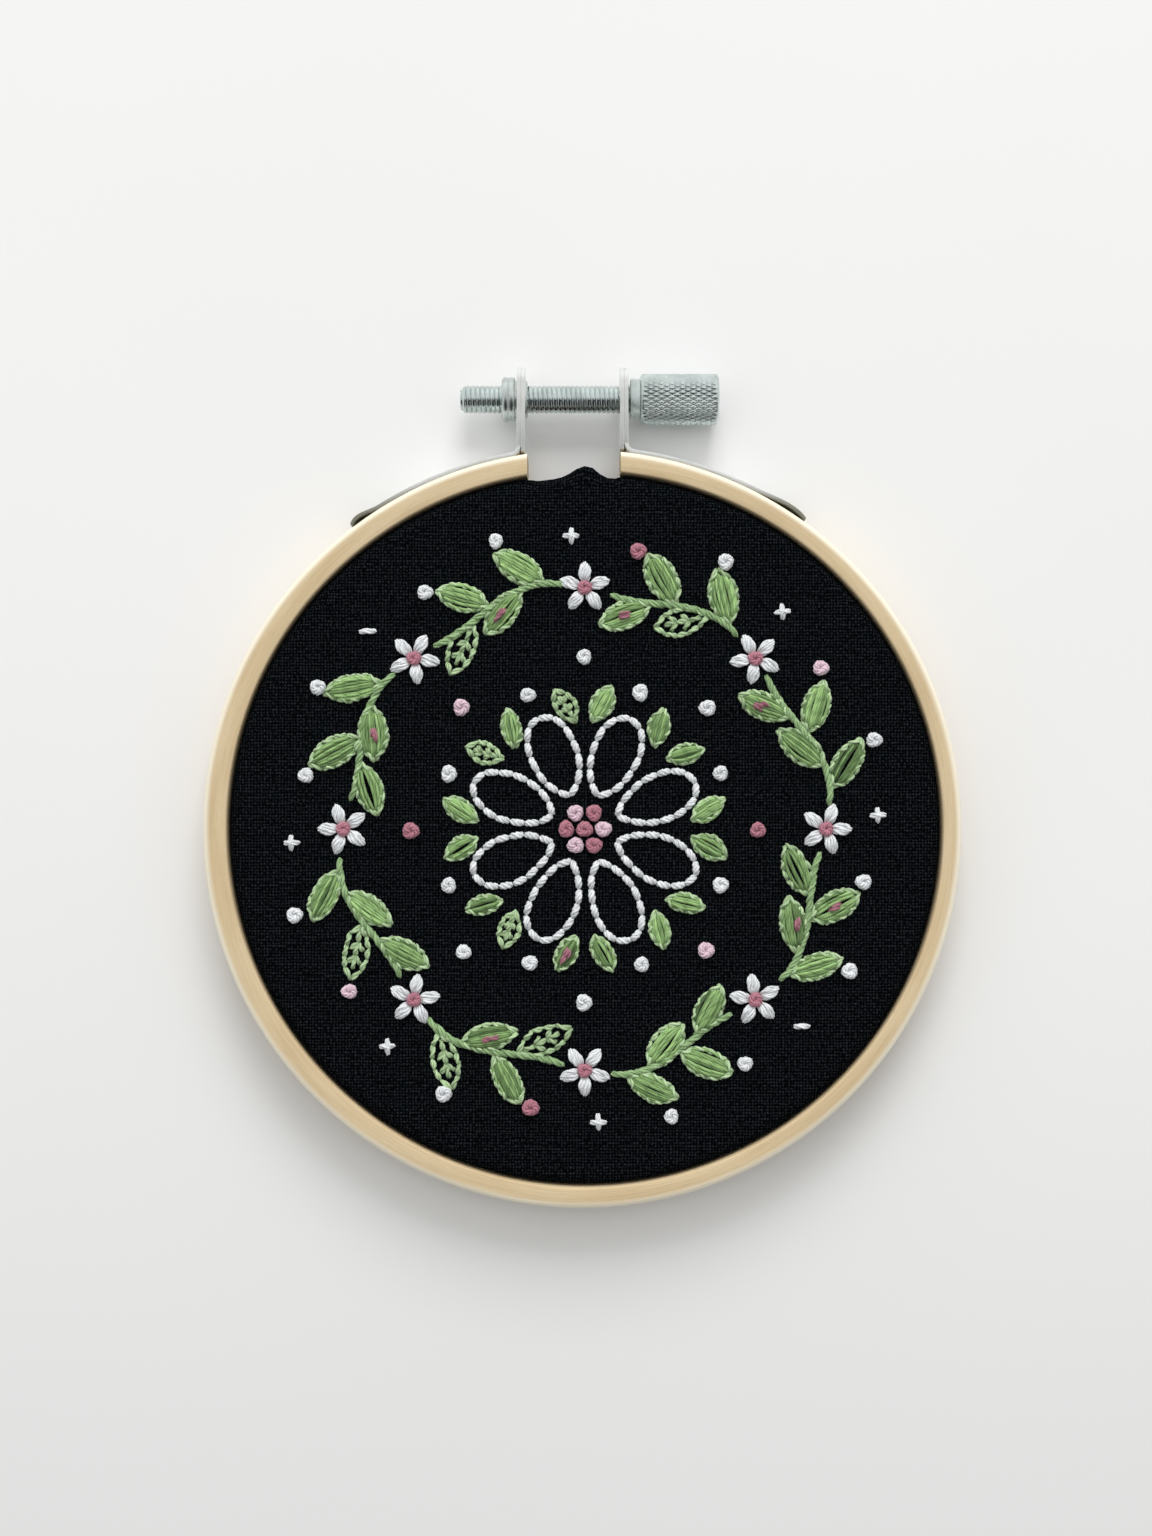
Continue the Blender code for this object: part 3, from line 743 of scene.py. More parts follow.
@dataclass
class StretchedCloth:
    """The black cotton: a drum-tight face, a rounded shoulder and a wall between the rings."""

    centre: Vector
    face: float = 8.7 * MM
    radius: float = 51.7 * MM
    thickness: float = 1.0 * MM
    shoulder: float = 1.6 * MM
    gap: tuple[float, float] = (-8.37 * MM, 5.23 * MM)
    gap_fade: float = 1.0 * MM
    pucker_middle: float = 0.30 * MM
    pucker_slopes: tuple[float, float] = (2.6 * MM, 1.9 * MM)
    pucker_reach: float = 1.2 * MM
    pucker_start: float = 49.0 * MM
    dip: float = 0.55 * MM
    turns: int = 288
    face_rings: int = 96
    shoulder_rings: int = 10
    wall_rings: int = 14
    wave: float = 0.035 * MM
    pull: float = 0.10 * MM
    pull_width: float = 1.1 * MM

    def stations(self) -> np.ndarray:
        """Works out the cloth's profile from its middle to its trimmed edge.

        Returns:
            Rows of radius, height and length along the cloth.
        """
        flat = self.radius - self.shoulder
        rows = [(flat * i / self.face_rings, self.face, flat * i / self.face_rings)
                for i in range(1, self.face_rings + 1)]
        for i in range(1, self.shoulder_rings + 1):
            turn = pi / 2 * i / self.shoulder_rings
            rows.append((flat + self.shoulder * sin(turn), self.face - self.shoulder * (1 - cos(turn)),
                         flat + self.shoulder * turn))
        wall_top = self.face - self.shoulder
        wall_start = flat + self.shoulder * pi / 2
        for i in range(1, self.wall_rings + 1):
            drop = wall_top * i / self.wall_rings
            rows.append((self.radius, wall_top - drop, wall_start + drop))
        return np.array(rows)

    def flat_radius(self) -> float:
        """Returns the radius of the disc that the cloth was cut to."""
        return float(self.stations()[-1, 2])

    def bulge(self, x: np.ndarray, y: np.ndarray, z: np.ndarray) -> np.ndarray:
        """Works out how far the cloth stands out or dips where the outer ring is split.

        The wall's inner side rests on the inner ring, so it only follows the fold outwards.

        Args:
            x: Places across, from the cloth's centre.
            y: Places towards the screw.
            z: Heights.

        Returns:
            The distance outwards at each place.
        """
        radius = np.hypot(x, y)
        side = x - self.pucker_middle
        slope = np.where(side < 0, self.pucker_slopes[0], self.pucker_slopes[1])
        fold = np.exp(-np.abs(side / slope) ** 2.2)
        inside = np.clip(np.minimum(x - self.gap[0], self.gap[1] - x) / self.gap_fade, 0, 1)
        slack = inside**2 * (3 - 2 * inside)
        out = (self.pucker_reach + self.dip) * fold - self.dip * slack
        flat, wall_top = self.radius - self.shoulder, self.face - self.shoulder
        depth = np.hypot(np.maximum(radius - flat, 0), np.maximum(z - wall_top, 0))
        outer_side = depth > self.shoulder - self.thickness / 2
        wall = np.where(outer_side, self.radius, self.radius - self.thickness)
        share = np.clip((radius - self.pucker_start) / (wall - self.pucker_start), 0, 1)
        ease = share**2 * (3 - 2 * share)
        return np.where(y > 0, np.where(outer_side, out, np.maximum(out, 0)) * ease, 0)

    def relief(self, x: np.ndarray, y: np.ndarray, stitched: np.ndarray) -> np.ndarray:
        """Works out the small rises and dips of the stretched face.

        Args:
            x: Places across, from the cloth's centre.
            y: Places towards the screw.
            stitched: Points along the stitched lines, where the thread pulls the cloth in.

        Returns:
            The height above the flat face at each place.
        """
        waves = np.sin(x * 310 + 1.3) * np.sin(y * 270 + 0.4) + 0.6 * np.sin(x * 150 - y * 190 + 2.1)
        nearest = np.full(x.shape, np.inf)
        for spot in stitched:
            nearest = np.minimum(nearest, (x - spot[0]) ** 2 + (y - spot[1]) ** 2)
        pulled = np.exp(-nearest / self.pull_width**2)
        edge = np.clip((self.radius - self.shoulder - np.hypot(x, y)) / (4 * MM), 0, 1)
        return (self.wave * waves - self.pull * pulled) * edge

    def build_sheet(self, stitched: np.ndarray) -> bpy.types.Object:
        """Builds the cloth as one sheet on its solid's form, with its flat cut as its UV map.

        Args:
            stitched: Points along the stitched lines, from the cloth's centre.

        Returns:
            The cloth.
        """
        stations = self.stations()
        turn = tau * np.arange(self.turns) / self.turns
        radius, height, length = (stations[:, column, None] for column in range(3))
        x, y = radius * np.cos(turn), radius * np.sin(turn)
        z = np.broadcast_to(height, x.shape).copy()
        z += self.relief(x, y, stitched) * (height == self.face)
        flat = np.stack((length * np.cos(turn), length * np.sin(turn)), axis=-1) / (2 * self.flat_radius())
        middle_height = self.face + float(self.relief(np.zeros(1), np.zeros(1), stitched)[0])
        points = np.concatenate(([[0, 0, middle_height]], np.stack((x, y, z), axis=-1).reshape(-1, 3)))
        flat = np.concatenate(([[0, 0]], flat.reshape(-1, 2))) + 0.5
        after = (np.arange(self.turns) + 1) % self.turns
        first = 1 + np.arange(self.turns)
        fan = [(0, int(a), int(b)) for a, b in zip(first, 1 + after)]
        quads = []
        for row in range(len(stations) - 1):
            inner, outer = 1 + row * self.turns, 1 + (row + 1) * self.turns
            quads += [(inner + a, outer + a, outer + b, inner + b)
                      for a, b in zip(range(self.turns), after.tolist())]
        mesh = bpy.data.meshes.new("black_cotton_cloth")
        mesh.from_pydata((points + np.array(self.centre)).tolist(), [], fan + quads)
        layer = mesh.uv_layers.new(name="flat_cut")
        corners = np.empty(len(mesh.loops), np.int32)
        mesh.loops.foreach_get("vertex_index", corners)
        layer.data.foreach_set("uv", flat[corners].astype(np.float32).ravel())
        cloth = linked_object(mesh)
        select_only(cloth)
        wall = cloth.modifiers.new("wall", "SOLIDIFY")
        wall.thickness = self.thickness
        wall.offset = -1
        wall.use_even_offset = True
        bpy.ops.object.modifier_apply(modifier=wall.name)
        self.fold_into_gap(cloth)
        return finish_shape(cloth, 60)

    def fold_into_gap(self, cloth: bpy.types.Object) -> None:
        """Moves the walled cloth out and in where the outer ring leaves it free.

        Args:
            cloth: The cloth, with its thickness.
        """
        spots = np.empty(3 * len(cloth.data.vertices), np.float32)
        cloth.data.vertices.foreach_get("co", spots)
        spots = spots.reshape(-1, 3).astype(float)
        x, y, z = (spots - np.array(self.centre)).T
        radius = np.maximum(np.hypot(x, y), 1e-9)
        out = self.bulge(x, y, z)
        spots[:, 0] += out * x / radius
        spots[:, 1] += out * y / radius
        cloth.data.vertices.foreach_set("co", spots.astype(np.float32).ravel())
        cloth.data.update()

    def build(self, effects: Effects, stitched: np.ndarray) -> None:
        """Args:
            effects: The shared shader groups.
            stitched: Points along the stitched lines, from the cloth's centre.
        """
        cloth = self.build_sheet(stitched)
        width = 2 * self.flat_radius()
        # The second colour is lint, and painted highlight on the weave's crowns.
        cotton = CottonFinish("black_cotton", (0.0007, 0.0014, 0.0018), (0.0240, 0.0260, 0.0310), width)
        dress(cloth, cotton.build(effects), Body.HOOP, ("cloth",))


# Stitches


@dataclass
class ThreadMesh:
    """Strands of one colour of thread, gathered as arrays and made into one mesh."""

    name: str
    sides: int = 6
    points: list[np.ndarray] = field(default_factory=list)
    faces: list[np.ndarray] = field(default_factory=list)
    corners: list[np.ndarray] = field(default_factory=list)
    tones: list[np.ndarray] = field(default_factory=list)
    count: int = 0

    def add(self, paths: np.ndarray, radius: np.ndarray | float, tone: np.ndarray | float) -> None:
        """Adds closed strands that all have the same number of points.

        Args:
            paths: The strands' middle lines, as (strand, point, axis).
            radius: The strands' radius, one value or one for each point.
            tone: How light each strand is, about 0 to 1.
        """
        strands, rows, _ = paths.shape
        sides = self.sides
        ahead = np.gradient(paths, axis=1)
        ahead /= np.linalg.norm(ahead, axis=2, keepdims=True)
        side = np.cross(ahead, UP)
        side /= np.maximum(np.linalg.norm(side, axis=2, keepdims=True), 1e-9)
        above = np.cross(side, ahead)
        turn = tau * np.arange(sides) / sides
        ring = side[:, :, None] * np.cos(turn)[:, None] + above[:, :, None] * np.sin(turn)[:, None]
        radii = np.broadcast_to(radius, (strands, rows))
        self.points.append((paths[:, :, None] + radii[:, :, None, None] * ring).reshape(-1, 3))

        index = self.count + np.arange(strands * rows * sides).reshape(strands, rows, sides)
        following = np.roll(index, -1, axis=2)
        walls = np.stack((index[:, :-1], index[:, 1:], following[:, 1:], following[:, :-1]), axis=-1)
        starts, ends = index[:, 0], index[:, -1, ::-1]
        caps = [cap[:, [0, step, step + 1, step + 2]]
                for cap in (starts, ends) for step in range(1, sides - 2, 2)]
        self.faces += [walls.reshape(-1, 4)] + caps

        travelled = np.linalg.norm(np.diff(paths, axis=1), axis=2)
        along = np.concatenate((np.zeros((strands, 1)), np.cumsum(travelled, axis=1)), axis=1)
        along /= tau * radii.mean(axis=1, keepdims=True)
        low = np.broadcast_to(along[:, :-1, None], walls.shape[:3])
        high = np.broadcast_to(along[:, 1:, None], walls.shape[:3])
        left = np.broadcast_to(np.arange(sides) / sides, walls.shape[:3])
        right = left + 1 / sides
        square = [(left, low), (left, high), (right, high), (right, low)]
        self.corners.append(np.stack([np.stack(pair, axis=-1) for pair in square], axis=-2).reshape(-1, 2))
        self.corners += [np.zeros((4 * len(cap), 2)) for cap in caps]
        spread = np.broadcast_to(np.reshape(tone, (-1, 1, 1)), (strands, rows, sides))
        self.tones.append(spread.reshape(-1))
        self.count += strands * rows * sides

    def build(self) -> bpy.types.Object:
        """Makes the mesh, with its strand coordinates and its tones.

        Returns:
            The piece.
        """
        mesh = bpy.data.meshes.new(self.name)
        faces = np.concatenate(self.faces)
        mesh.from_pydata(np.concatenate(self.points).tolist(), [], faces.tolist())
        layer = mesh.uv_layers.new(name="strand")
        layer.data.foreach_set("uv", np.concatenate(self.corners).astype(np.float32).ravel())
        tones = mesh.attributes.new("tone", "FLOAT", "POINT")
        tones.data.foreach_set("value", np.concatenate(self.tones).astype(np.float32))
        mesh.shade_smooth()
        return linked_object(mesh)


@dataclass(frozen=True)
class StitchKind:
    """How one kind of stitch lies: its strands, their twist and how high it stands."""

    strands: int
    strand_radius: float
    spread: float
    lift: float
    twist: float
    points: int = 10
    bury: float = 0.5 * MM


BACK_STITCH = StitchKind(3, 0.27 * MM, 0.30 * MM, 0.32 * MM, 0.9)
STEM_STITCH = StitchKind(3, 0.25 * MM, 0.27 * MM, 0.30 * MM, 0.8)
OUTLINE_STITCH = StitchKind(2, 0.24 * MM, 0.20 * MM, 0.38 * MM, 0.7)
STRAIGHT_STITCH = StitchKind(3, 0.22 * MM, 0.24 * MM, 0.26 * MM, 0.6)
BLOSSOM_STITCH = StitchKind(3, 0.23 * MM, 0.26 * MM, 0.50 * MM, 0.6)
ACCENT_STITCH = StitchKind(2, 0.20 * MM, 0.18 * MM, 1.15 * MM, 0.6)


@dataclass
class Embroidery:
    """The leafy wreath round one open flower, in eight repeats, stitched on the cloth's face."""

    centre: Vector
    face: float = 8.7 * MM
    repeats: int = 8
    vine_circle: float = 35.0 * MM
    vine_wave: float = 1.2 * MM
    stem_length: float = 3.2 * MM
    stem_advance: float = 1.65 * MM
    leaf: tuple[float, float, float] = (8.5 * MM, 3.8 * MM, 1.1 * MM)
    leaf_lean: float = 38
    leaf_roots: tuple[tuple[float, int], ...] = ((0.20, 1), (0.32, -1), (0.50, 1), (0.62, -1))
    small_leaf: tuple[float, float, float] = (6.0 * MM, 2.7 * MM, 1.0 * MM)
    small_leaf_lean: float = 30
    small_leaf_root: float = 15.2 * MM
    small_leaf_spread: float = 1.0 * MM
    leaf_clearance: float = 0.3 * MM
    leaf_strands: int = 9
    open_leaf_share: float = 0.16
    accent_share: float = 0.14
    vine_clearance: float = 2.7 * MM
    blossom_petals: int = 5
    blossom_hollow: float = 1.1 * MM
    blossom_petal: tuple[float, float] = (2.7 * MM, 1.5 * MM)
    petal_start: float = 5.0 * MM
    petal_length: float = 12.5 * MM
    petal_width: float = 7.6 * MM
    petal_point: float = 0.2
    petal_stitches: int = 14
    heart_knots: int = 6
    heart_radius: float = 2.7 * MM
    knot_spots: tuple[tuple[float, float], ...] = (
        (0.38, 43.6 * MM), (0.76, 41.2 * MM), (0.0, 25.0 * MM), (0.50, 21.2 * MM))
    knot_size: float = 2.5 * MM
    knot_turns: float = 2.15
    knot_strands: int = 3
    knot_twist: float = 5.5
    knot_points: int = 44
    cross_circle: float = 42.6 * MM
    cross_arm: float = 1.25 * MM
    cloth_thickness: float = 1.0 * MM
    seed: int = 11

    def __post_init__(self) -> None:
        """Starts the seeded random draws and the threads, one mesh for each colour."""
        self.random = np.random.default_rng(self.seed)
        self.white = ThreadMesh("white_petal_stitches")
        self.vine_green = ThreadMesh("green_vine_stitches")
        self.leaf_green = ThreadMesh("green_leaf_strands")
        self.pale_green = ThreadMesh("pale_green_outlines")
        self.blossoms = ThreadMesh("white_blossom_strands")
        self.white_knots = ThreadMesh("white_knots")
        self.pale_pink_knots = ThreadMesh("pale_pink_knots")
        self.rose_knots = ThreadMesh("rose_knots_and_accents")
        self.crosses = ThreadMesh("white_crosses")
        self.back = ThreadMesh("thread_runs_on_the_back")

    def vine_radius(self, turn: np.ndarray | float) -> np.ndarray | float:
        """Returns the waving vine's distance from the cloth's centre."""
        return self.vine_circle + self.vine_wave * np.sin(self.repeats * turn)

    def vine_point(self, turn: np.ndarray | float) -> np.ndarray:
        """Returns points on the vine, as (x, y) from the cloth's centre."""
        radius = self.vine_radius(turn)
        return np.stack((radius * np.cos(turn), radius * np.sin(turn)), axis=-1)

    def petal_outline(self, middle: float, share: np.ndarray) -> np.ndarray:
        """Works out points on one open petal's outline.

        Args:
            middle: The petal's direction.
            share: How far round the outline each point is, from 0 to 1.

        Returns:
            The points, as (x, y) from the cloth's centre.
        """
        turn = tau * share
        out = (1 - np.cos(turn)) / 2
        along = self.petal_start + self.petal_length * out
        across = self.petal_width / 2 * np.sin(turn) * out**self.petal_point
        return np.stack((along * cos(middle) - across * sin(middle),
                         along * sin(middle) + across * cos(middle)), axis=-1)

    def even_shares(self, middle: float, count: int) -> np.ndarray:
        """Works out shares of a petal's outline that lie the same length apart.

        Args:
            middle: The petal's direction.
            count: How many stitches go round it.

        Returns:
            The shares, count and one more.
        """
        fine = np.linspace(0, 1, 400)
        steps = np.linalg.norm(np.diff(self.petal_outline(middle, fine), axis=0), axis=1)
        length = np.concatenate(([0], np.cumsum(steps)))
        return np.interp(np.linspace(0, length[-1], count + 1), length, fine)

    def repeat_turns(self, share: float = 0.0) -> np.ndarray:
        """Returns the direction of a place in each of the repeats."""
        return (np.arange(self.repeats) + share) * tau / self.repeats

    def stitched_points(self) -> np.ndarray:
        """Gathers points along the stitched lines, where the cloth is pulled in.

        Returns:
            The points, as (x, y) from the cloth's centre.
        """
        vine = self.vine_point(np.linspace(0, tau, 160, endpoint=False))
        petals = [self.petal_outline(turn, np.linspace(0, 1, 22)) for turn in self.repeat_turns(0.5)]
        return np.concatenate([vine] + petals)

    def lay(self, thread: ThreadMesh, starts: np.ndarray, ends: np.ndarray, kind: StitchKind,
            tone: float = 0.85, bow: float = 0.0) -> None:
        """Lays stitches from point to point on the cloth's face.

        Args:
            thread: The thread that they are made of.
            starts: Where each stitch comes up, as (x, y) from the cloth's centre.
            ends: Where it goes down.
            kind: The kind of stitch.
            tone: How light the thread is.
            bow: How far the middle of a stitch stands to its left.
        """
        count = len(starts)
        draw = self.random
        share = (1 - np.cos(np.linspace(0, pi, kind.points))) / 2
        arch = np.sin(pi * share) ** 0.55
        run = ends - starts
        left = np.stack((-run[:, 1], run[:, 0]), axis=-1)
        left /= np.linalg.norm(left, axis=1, keepdims=True)
        bowed = bow * np.sin(pi * share)[:, None] * left[:, None]
        flat = starts[:, None] + run[:, None] * share[:, None] + bowed
        lift = kind.lift * draw.uniform(0.85, 1.15, (count, 1))
        height = self.face - kind.bury + (kind.bury + lift) * arch
        phase = draw.uniform(0, tau, (count, 1, 1)) + tau * np.arange(kind.strands)[:, None] / kind.strands
        turn = phase + tau * kind.twist * share
        fan = kind.spread * (0.45 + 0.55 * arch)
        sideways = fan * np.cos(turn)
        upwards = 0.75 * fan * np.sin(turn)
        paths = np.empty((count, kind.strands, kind.points, 3))
        paths[..., :2] = flat[:, None] + sideways[..., None] * left[:, None, None]
        paths[..., 2] = height[:, None] + upwards
        paths = paths.reshape(-1, kind.points, 3) + np.array((self.centre.x, self.centre.y, 0))
        tones = tone + draw.uniform(-0.15, 0.15, count * kind.strands)
        thread.add(paths, kind.strand_radius * (0.8 + 0.2 * arch), tones)

    def jittered(self, points: np.ndarray, amount: float) -> np.ndarray:
        """Returns the points with small hand-made errors."""
        return points + self.random.normal(0, amount, points.shape)

    def stitch_vine(self) -> None:
        """Works the vine in stem stitch, each stitch overlapping the last, up to each blossom."""
        length = tau * self.vine_circle
        count = round(length / self.stem_advance)
        turns = tau * np.arange(count) / count
        reach = self.stem_length / self.vine_circle
        repeat = tau / self.repeats
        away = np.minimum(turns % repeat, -(turns + reach) % repeat)
        turns = turns[(away > self.vine_clearance / self.vine_circle) & (away + reach < repeat)]
        outward = np.stack((np.cos(turns), np.sin(turns)), axis=-1)
        later = np.stack((np.cos(turns + reach), np.sin(turns + reach)), axis=-1)
        slant = 0.22 * MM
        starts = self.jittered(self.vine_point(turns) - slant * outward, 0.05 * MM)
        ends = self.jittered(self.vine_point(turns + reach) + slant * later, 0.05 * MM)
        self.lay(self.vine_green, starts, ends, STEM_STITCH)

    def stitch_open_petals(self) -> None:
        """Works the outline of each open petal in white back stitch."""
        for turn in self.repeat_turns(0.5):
            shares = self.even_shares(turn, self.petal_stitches)
            points = self.jittered(self.petal_outline(turn, shares), 0.07 * MM)
            points[-1] = points[0]
            run = points[1:] - points[:-1]
            gap = 0.10 * MM * run / np.linalg.norm(run, axis=1, keepdims=True)
            self.lay(self.white, points[:-1] + gap, points[1:] - gap, BACK_STITCH, 0.88)

    def leaf_frames(self) -> list[tuple[np.ndarray, float, tuple[float, float, float]]]:
        """Works out every leaf's root, direction and size.

        Returns:
            One row for each leaf.
        """
        leaves = []
        for start in self.repeat_turns():
            for share, side in self.leaf_roots:
                angle = start + share * tau / self.repeats
                direction = angle + pi / 2 - side * radians(self.leaf_lean)
                leaves.append((self.vine_point(angle), direction, self.leaf))
            for side in (1, -1):
                angle = start + side * self.small_leaf_spread / self.small_leaf_root
                root = self.small_leaf_root * np.array((cos(angle), sin(angle)))
                leaves.append((root, start + side * radians(self.small_leaf_lean), self.small_leaf))
        return leaves

    def fill_leaf(self, middle: np.ndarray, ahead: np.ndarray, size: tuple[float, float, float]) -> None:
        """Fills one leaf with long strands that lie side by side over its crown.

        Args:
            middle: The leaf's middle.
            ahead: The direction in which it points.
            size: Its length, width and thickness.
        """
        draw = self.random
        length, width, thickness = size
        left = np.array((-ahead[1], ahead[0]))
        count = self.leaf_strands if width > 3 * MM else self.leaf_strands - 2
        across = np.linspace(-0.84, 0.84, count) + draw.uniform(-0.05, 0.05, count)
        if draw.random() < 0.45:
            across = np.delete(across, count // 2)
        begin = -0.97 + 0.22 * np.abs(across) + draw.uniform(0, 0.16, len(across))
        finish = 0.97 - 0.38 * np.abs(across) ** 1.5 - draw.uniform(0, 0.14, len(across))
        share = np.linspace(0, 1, 12)
        along = begin[:, None] + (finish - begin)[:, None] * share
        fullness = np.clip(1 - along**2, 0, 1)
        sway = draw.uniform(-0.12, 0.12, (len(across), 1)) * np.sin(pi * share)
        offset = (across[:, None] + sway) * width / 2 * fullness**0.7
        crown = thickness / 2 * np.sqrt(fullness) * np.sqrt(1 - across[:, None] ** 2)
        uneven = draw.uniform(-0.06, 0.10, (len(across), 1)) * MM
        tuck = np.clip(np.minimum(share, 1 - share) / 0.08, 0, 1)
        height = self.face + (crown + uneven) * tuck + 0.10 * MM - 0.45 * MM * (1 - tuck)
        flat = middle + along[..., None] * length / 2 * ahead + offset[..., None] * left
        paths = np.concatenate((flat, height[..., None]), axis=-1)
        paths += np.array((self.centre.x, self.centre.y, 0))
        shade = draw.uniform(0.30, 0.75) + draw.uniform(-0.30, 0.35, len(across))
        self.leaf_green.add(paths, 0.25 * MM, np.clip(shade, 0.05, 1.1))

    def vein_leaf(self, middle: np.ndarray, ahead: np.ndarray, size: tuple[float, float, float]) -> None:
        """Works a leaf's middle vein and its side veins in an open leaf.

        Args:
            middle: The leaf's middle.
            ahead: The direction in which it points.
            size: Its length, width and thickness.
        """
        length, width, _ = size
        left = np.array((-ahead[1], ahead[0]))
        marks = np.linspace(-0.8, 0.6, 4)
        spine = self.jittered(middle + marks[:, None] * length / 2 * ahead, 0.06 * MM)
        self.lay(self.pale_green, spine[:-1], spine[1:], OUTLINE_STITCH, 0.7)
        for side in (1, -1):
            tips = spine[1:3] + (0.26 * length / 2) * ahead + side * 0.30 * width * left
            self.lay(self.pale_green, spine[1:3], tips, OUTLINE_STITCH, 0.7)

    def outline_leaf(self, middle: np.ndarray, ahead: np.ndarray, size: tuple[float, float, float]) -> None:
        """Works a leaf's outline in paler short stitches.

        Args:
            middle: The leaf's middle.
            ahead: The direction in which it points.
            size: Its length, width and thickness.
        """
        length, width, _ = size
        left = np.array((-ahead[1], ahead[0]))
        stitches = 5 if width > 3 * MM else 4
        marks = np.linspace(-1, 1, stitches + 1)
        for side in (1, -1):
            edge = np.clip(1 - marks**2, 0, 1) ** 0.75 * (width / 2 + 0.16 * MM)
            outline = middle + marks[:, None] * length / 2 * ahead + side * edge[:, None] * left
            outline = self.jittered(outline, 0.08 * MM)
            tone = self.random.uniform(0.65, 1.0)
            self.lay(self.pale_green, outline[:-1], outline[1:], OUTLINE_STITCH, tone, -side * 0.12 * MM)

    def stitch_leaves(self) -> None:
        """Works all leaves: most are filled, some are open, and a few have a rose accent."""
        draw = self.random
        for root, direction, (length, width, thickness) in self.leaf_frames():
            direction += draw.normal(0, radians(3))
            ahead = np.array((cos(direction), sin(direction)))
            size = (length * draw.uniform(0.93, 1.02), width * draw.uniform(0.84, 1.02), thickness)
            middle = root + (length / 2 + self.leaf_clearance) * ahead
            if draw.random() < self.open_leaf_share:
                self.vein_leaf(middle, ahead, size)
            else:
                self.fill_leaf(middle, ahead, size)
                if draw.random() < self.accent_share:
                    starts = self.jittered(np.array([middle - 0.9 * MM * ahead] * 3), 0.30 * MM)
                    self.lay(self.rose_knots, starts, starts + 2.0 * MM * ahead, ACCENT_STITCH, 0.6)
            self.outline_leaf(middle, ahead, size)

    def stitch_blossoms(self) -> None:
        """Works the small five-petalled blossoms, three strands to a petal."""
        length, width = self.blossom_petal
        for turn in self.repeat_turns():
            centre = self.vine_point(turn)
            for petal in range(self.blossom_petals):
                direction = turn + petal * tau / self.blossom_petals
                ahead = np.array((cos(direction), sin(direction)))
                left = np.array((-ahead[1], ahead[0]))
                start = centre + (self.blossom_hollow - 0.3 * MM) * ahead
                end = centre + (self.blossom_hollow + length) * ahead
                for side in (-1, 1, 0):
                    shift = side * width * 0.28 * left
                    starts = (start + 0.3 * shift)[None]
                    ends = (end + 0.4 * shift - abs(side) * 0.25 * MM * ahead)[None]
                    self.lay(self.blossoms, starts, ends, BLOSSOM_STITCH, 0.9, side * 0.35 * MM)

    def tie_knot(self, thread: ThreadMesh, spot: np.ndarray, size: float) -> None:
        """Ties one French knot: a thread of three strands wound twice round and tucked in.

        Args:
            thread: The thread.
            spot: The knot's middle, as (x, y) from the cloth's centre.
            size: Its width.
        """
        draw = self.random
        share = np.linspace(0, 1, self.knot_points)
        turn = draw.uniform(0, tau) + tau * self.knot_turns * share
        cord = 0.20 * size
        coil = (size / 2 - cord) * (1 - 0.18 * share) * (1 + 0.10 * np.sin(3 * turn + draw.uniform(0, tau)))
        coil = coil * np.clip((1 - share) / 0.12, 0.1, 1)
        squash = draw.uniform(0.88, 1.12)
        line = np.stack((coil * np.cos(turn) * squash, coil * np.sin(turn) / squash), axis=-1)
        rise = cord * (0.35 + 1.1 * share) * np.clip((1 - share) / 0.10, 0, 1)
        rise = rise * np.clip(share / 0.06, 0, 1)
        out = np.stack((np.cos(turn), np.sin(turn)), axis=-1)
        strands = self.knot_strands
        wind = tau * np.arange(strands)[:, None] / strands + tau * self.knot_twist * share
        paths = np.empty((strands, self.knot_points, 3))
        paths[..., :2] = line + (0.55 * cord * np.cos(wind))[..., None] * out
        paths[..., 2] = self.face + rise + 0.55 * cord * np.sin(wind)
        paths[..., :2] += spot + np.array((self.centre.x, self.centre.y))
        thread.add(paths, 0.52 * cord, 0.88 + draw.uniform(-0.1, 0.1, strands))

    def tie_knots(self) -> None:
        """Ties every knot, in white, pale pink and rose."""
        for number, turn in enumerate(tau * np.arange(self.heart_knots) / self.heart_knots):
            spot = self.heart_radius * np.array((cos(turn), sin(turn)))
            self.tie_knot(self.rose_knots if number % 2 else self.pale_pink_knots, spot, self.knot_size)
        self.tie_knot(self.rose_knots, np.zeros(2), self.knot_size)
        threads = (self.white_knots, self.pale_pink_knots, self.rose_knots, self.white_knots)
        for repeat, start in enumerate(self.repeat_turns()):
            self.tie_knot(self.rose_knots, self.vine_point(start), 0.9 * self.knot_size)
            for place, (share, radius) in enumerate(self.knot_spots):
                turn = start + share * tau / self.repeats
                spot = radius * np.array((cos(turn), sin(turn)))
                thread = threads[(place + repeat * (place in (1, 2))) % len(threads)]
                spot = self.jittered(spot, 0.15 * MM)
                self.tie_knot(thread, spot, self.knot_size * self.random.uniform(0.9, 1.05))

    def stitch_crosses(self) -> None:
        """Works the small crosses and single dashes between the wreath and the ring."""
        for number, turn in enumerate(self.repeat_turns(0.06)):
            spot = self.cross_circle * np.array((cos(turn), sin(turn)))
            lean = turn + (pi / 4 if number % 2 else 0)
            arms = 2 if number % 4 != 3 else 1
            for arm in range(arms):
                half = self.cross_arm * np.array((cos(lean + arm * pi / 2), sin(lean + arm * pi / 2)))
                starts = self.jittered((spot - half)[None], 0.06 * MM)
                ends = self.jittered((spot + half)[None], 0.06 * MM)
                self.lay(self.crosses, starts, ends, STRAIGHT_STITCH, 0.9)

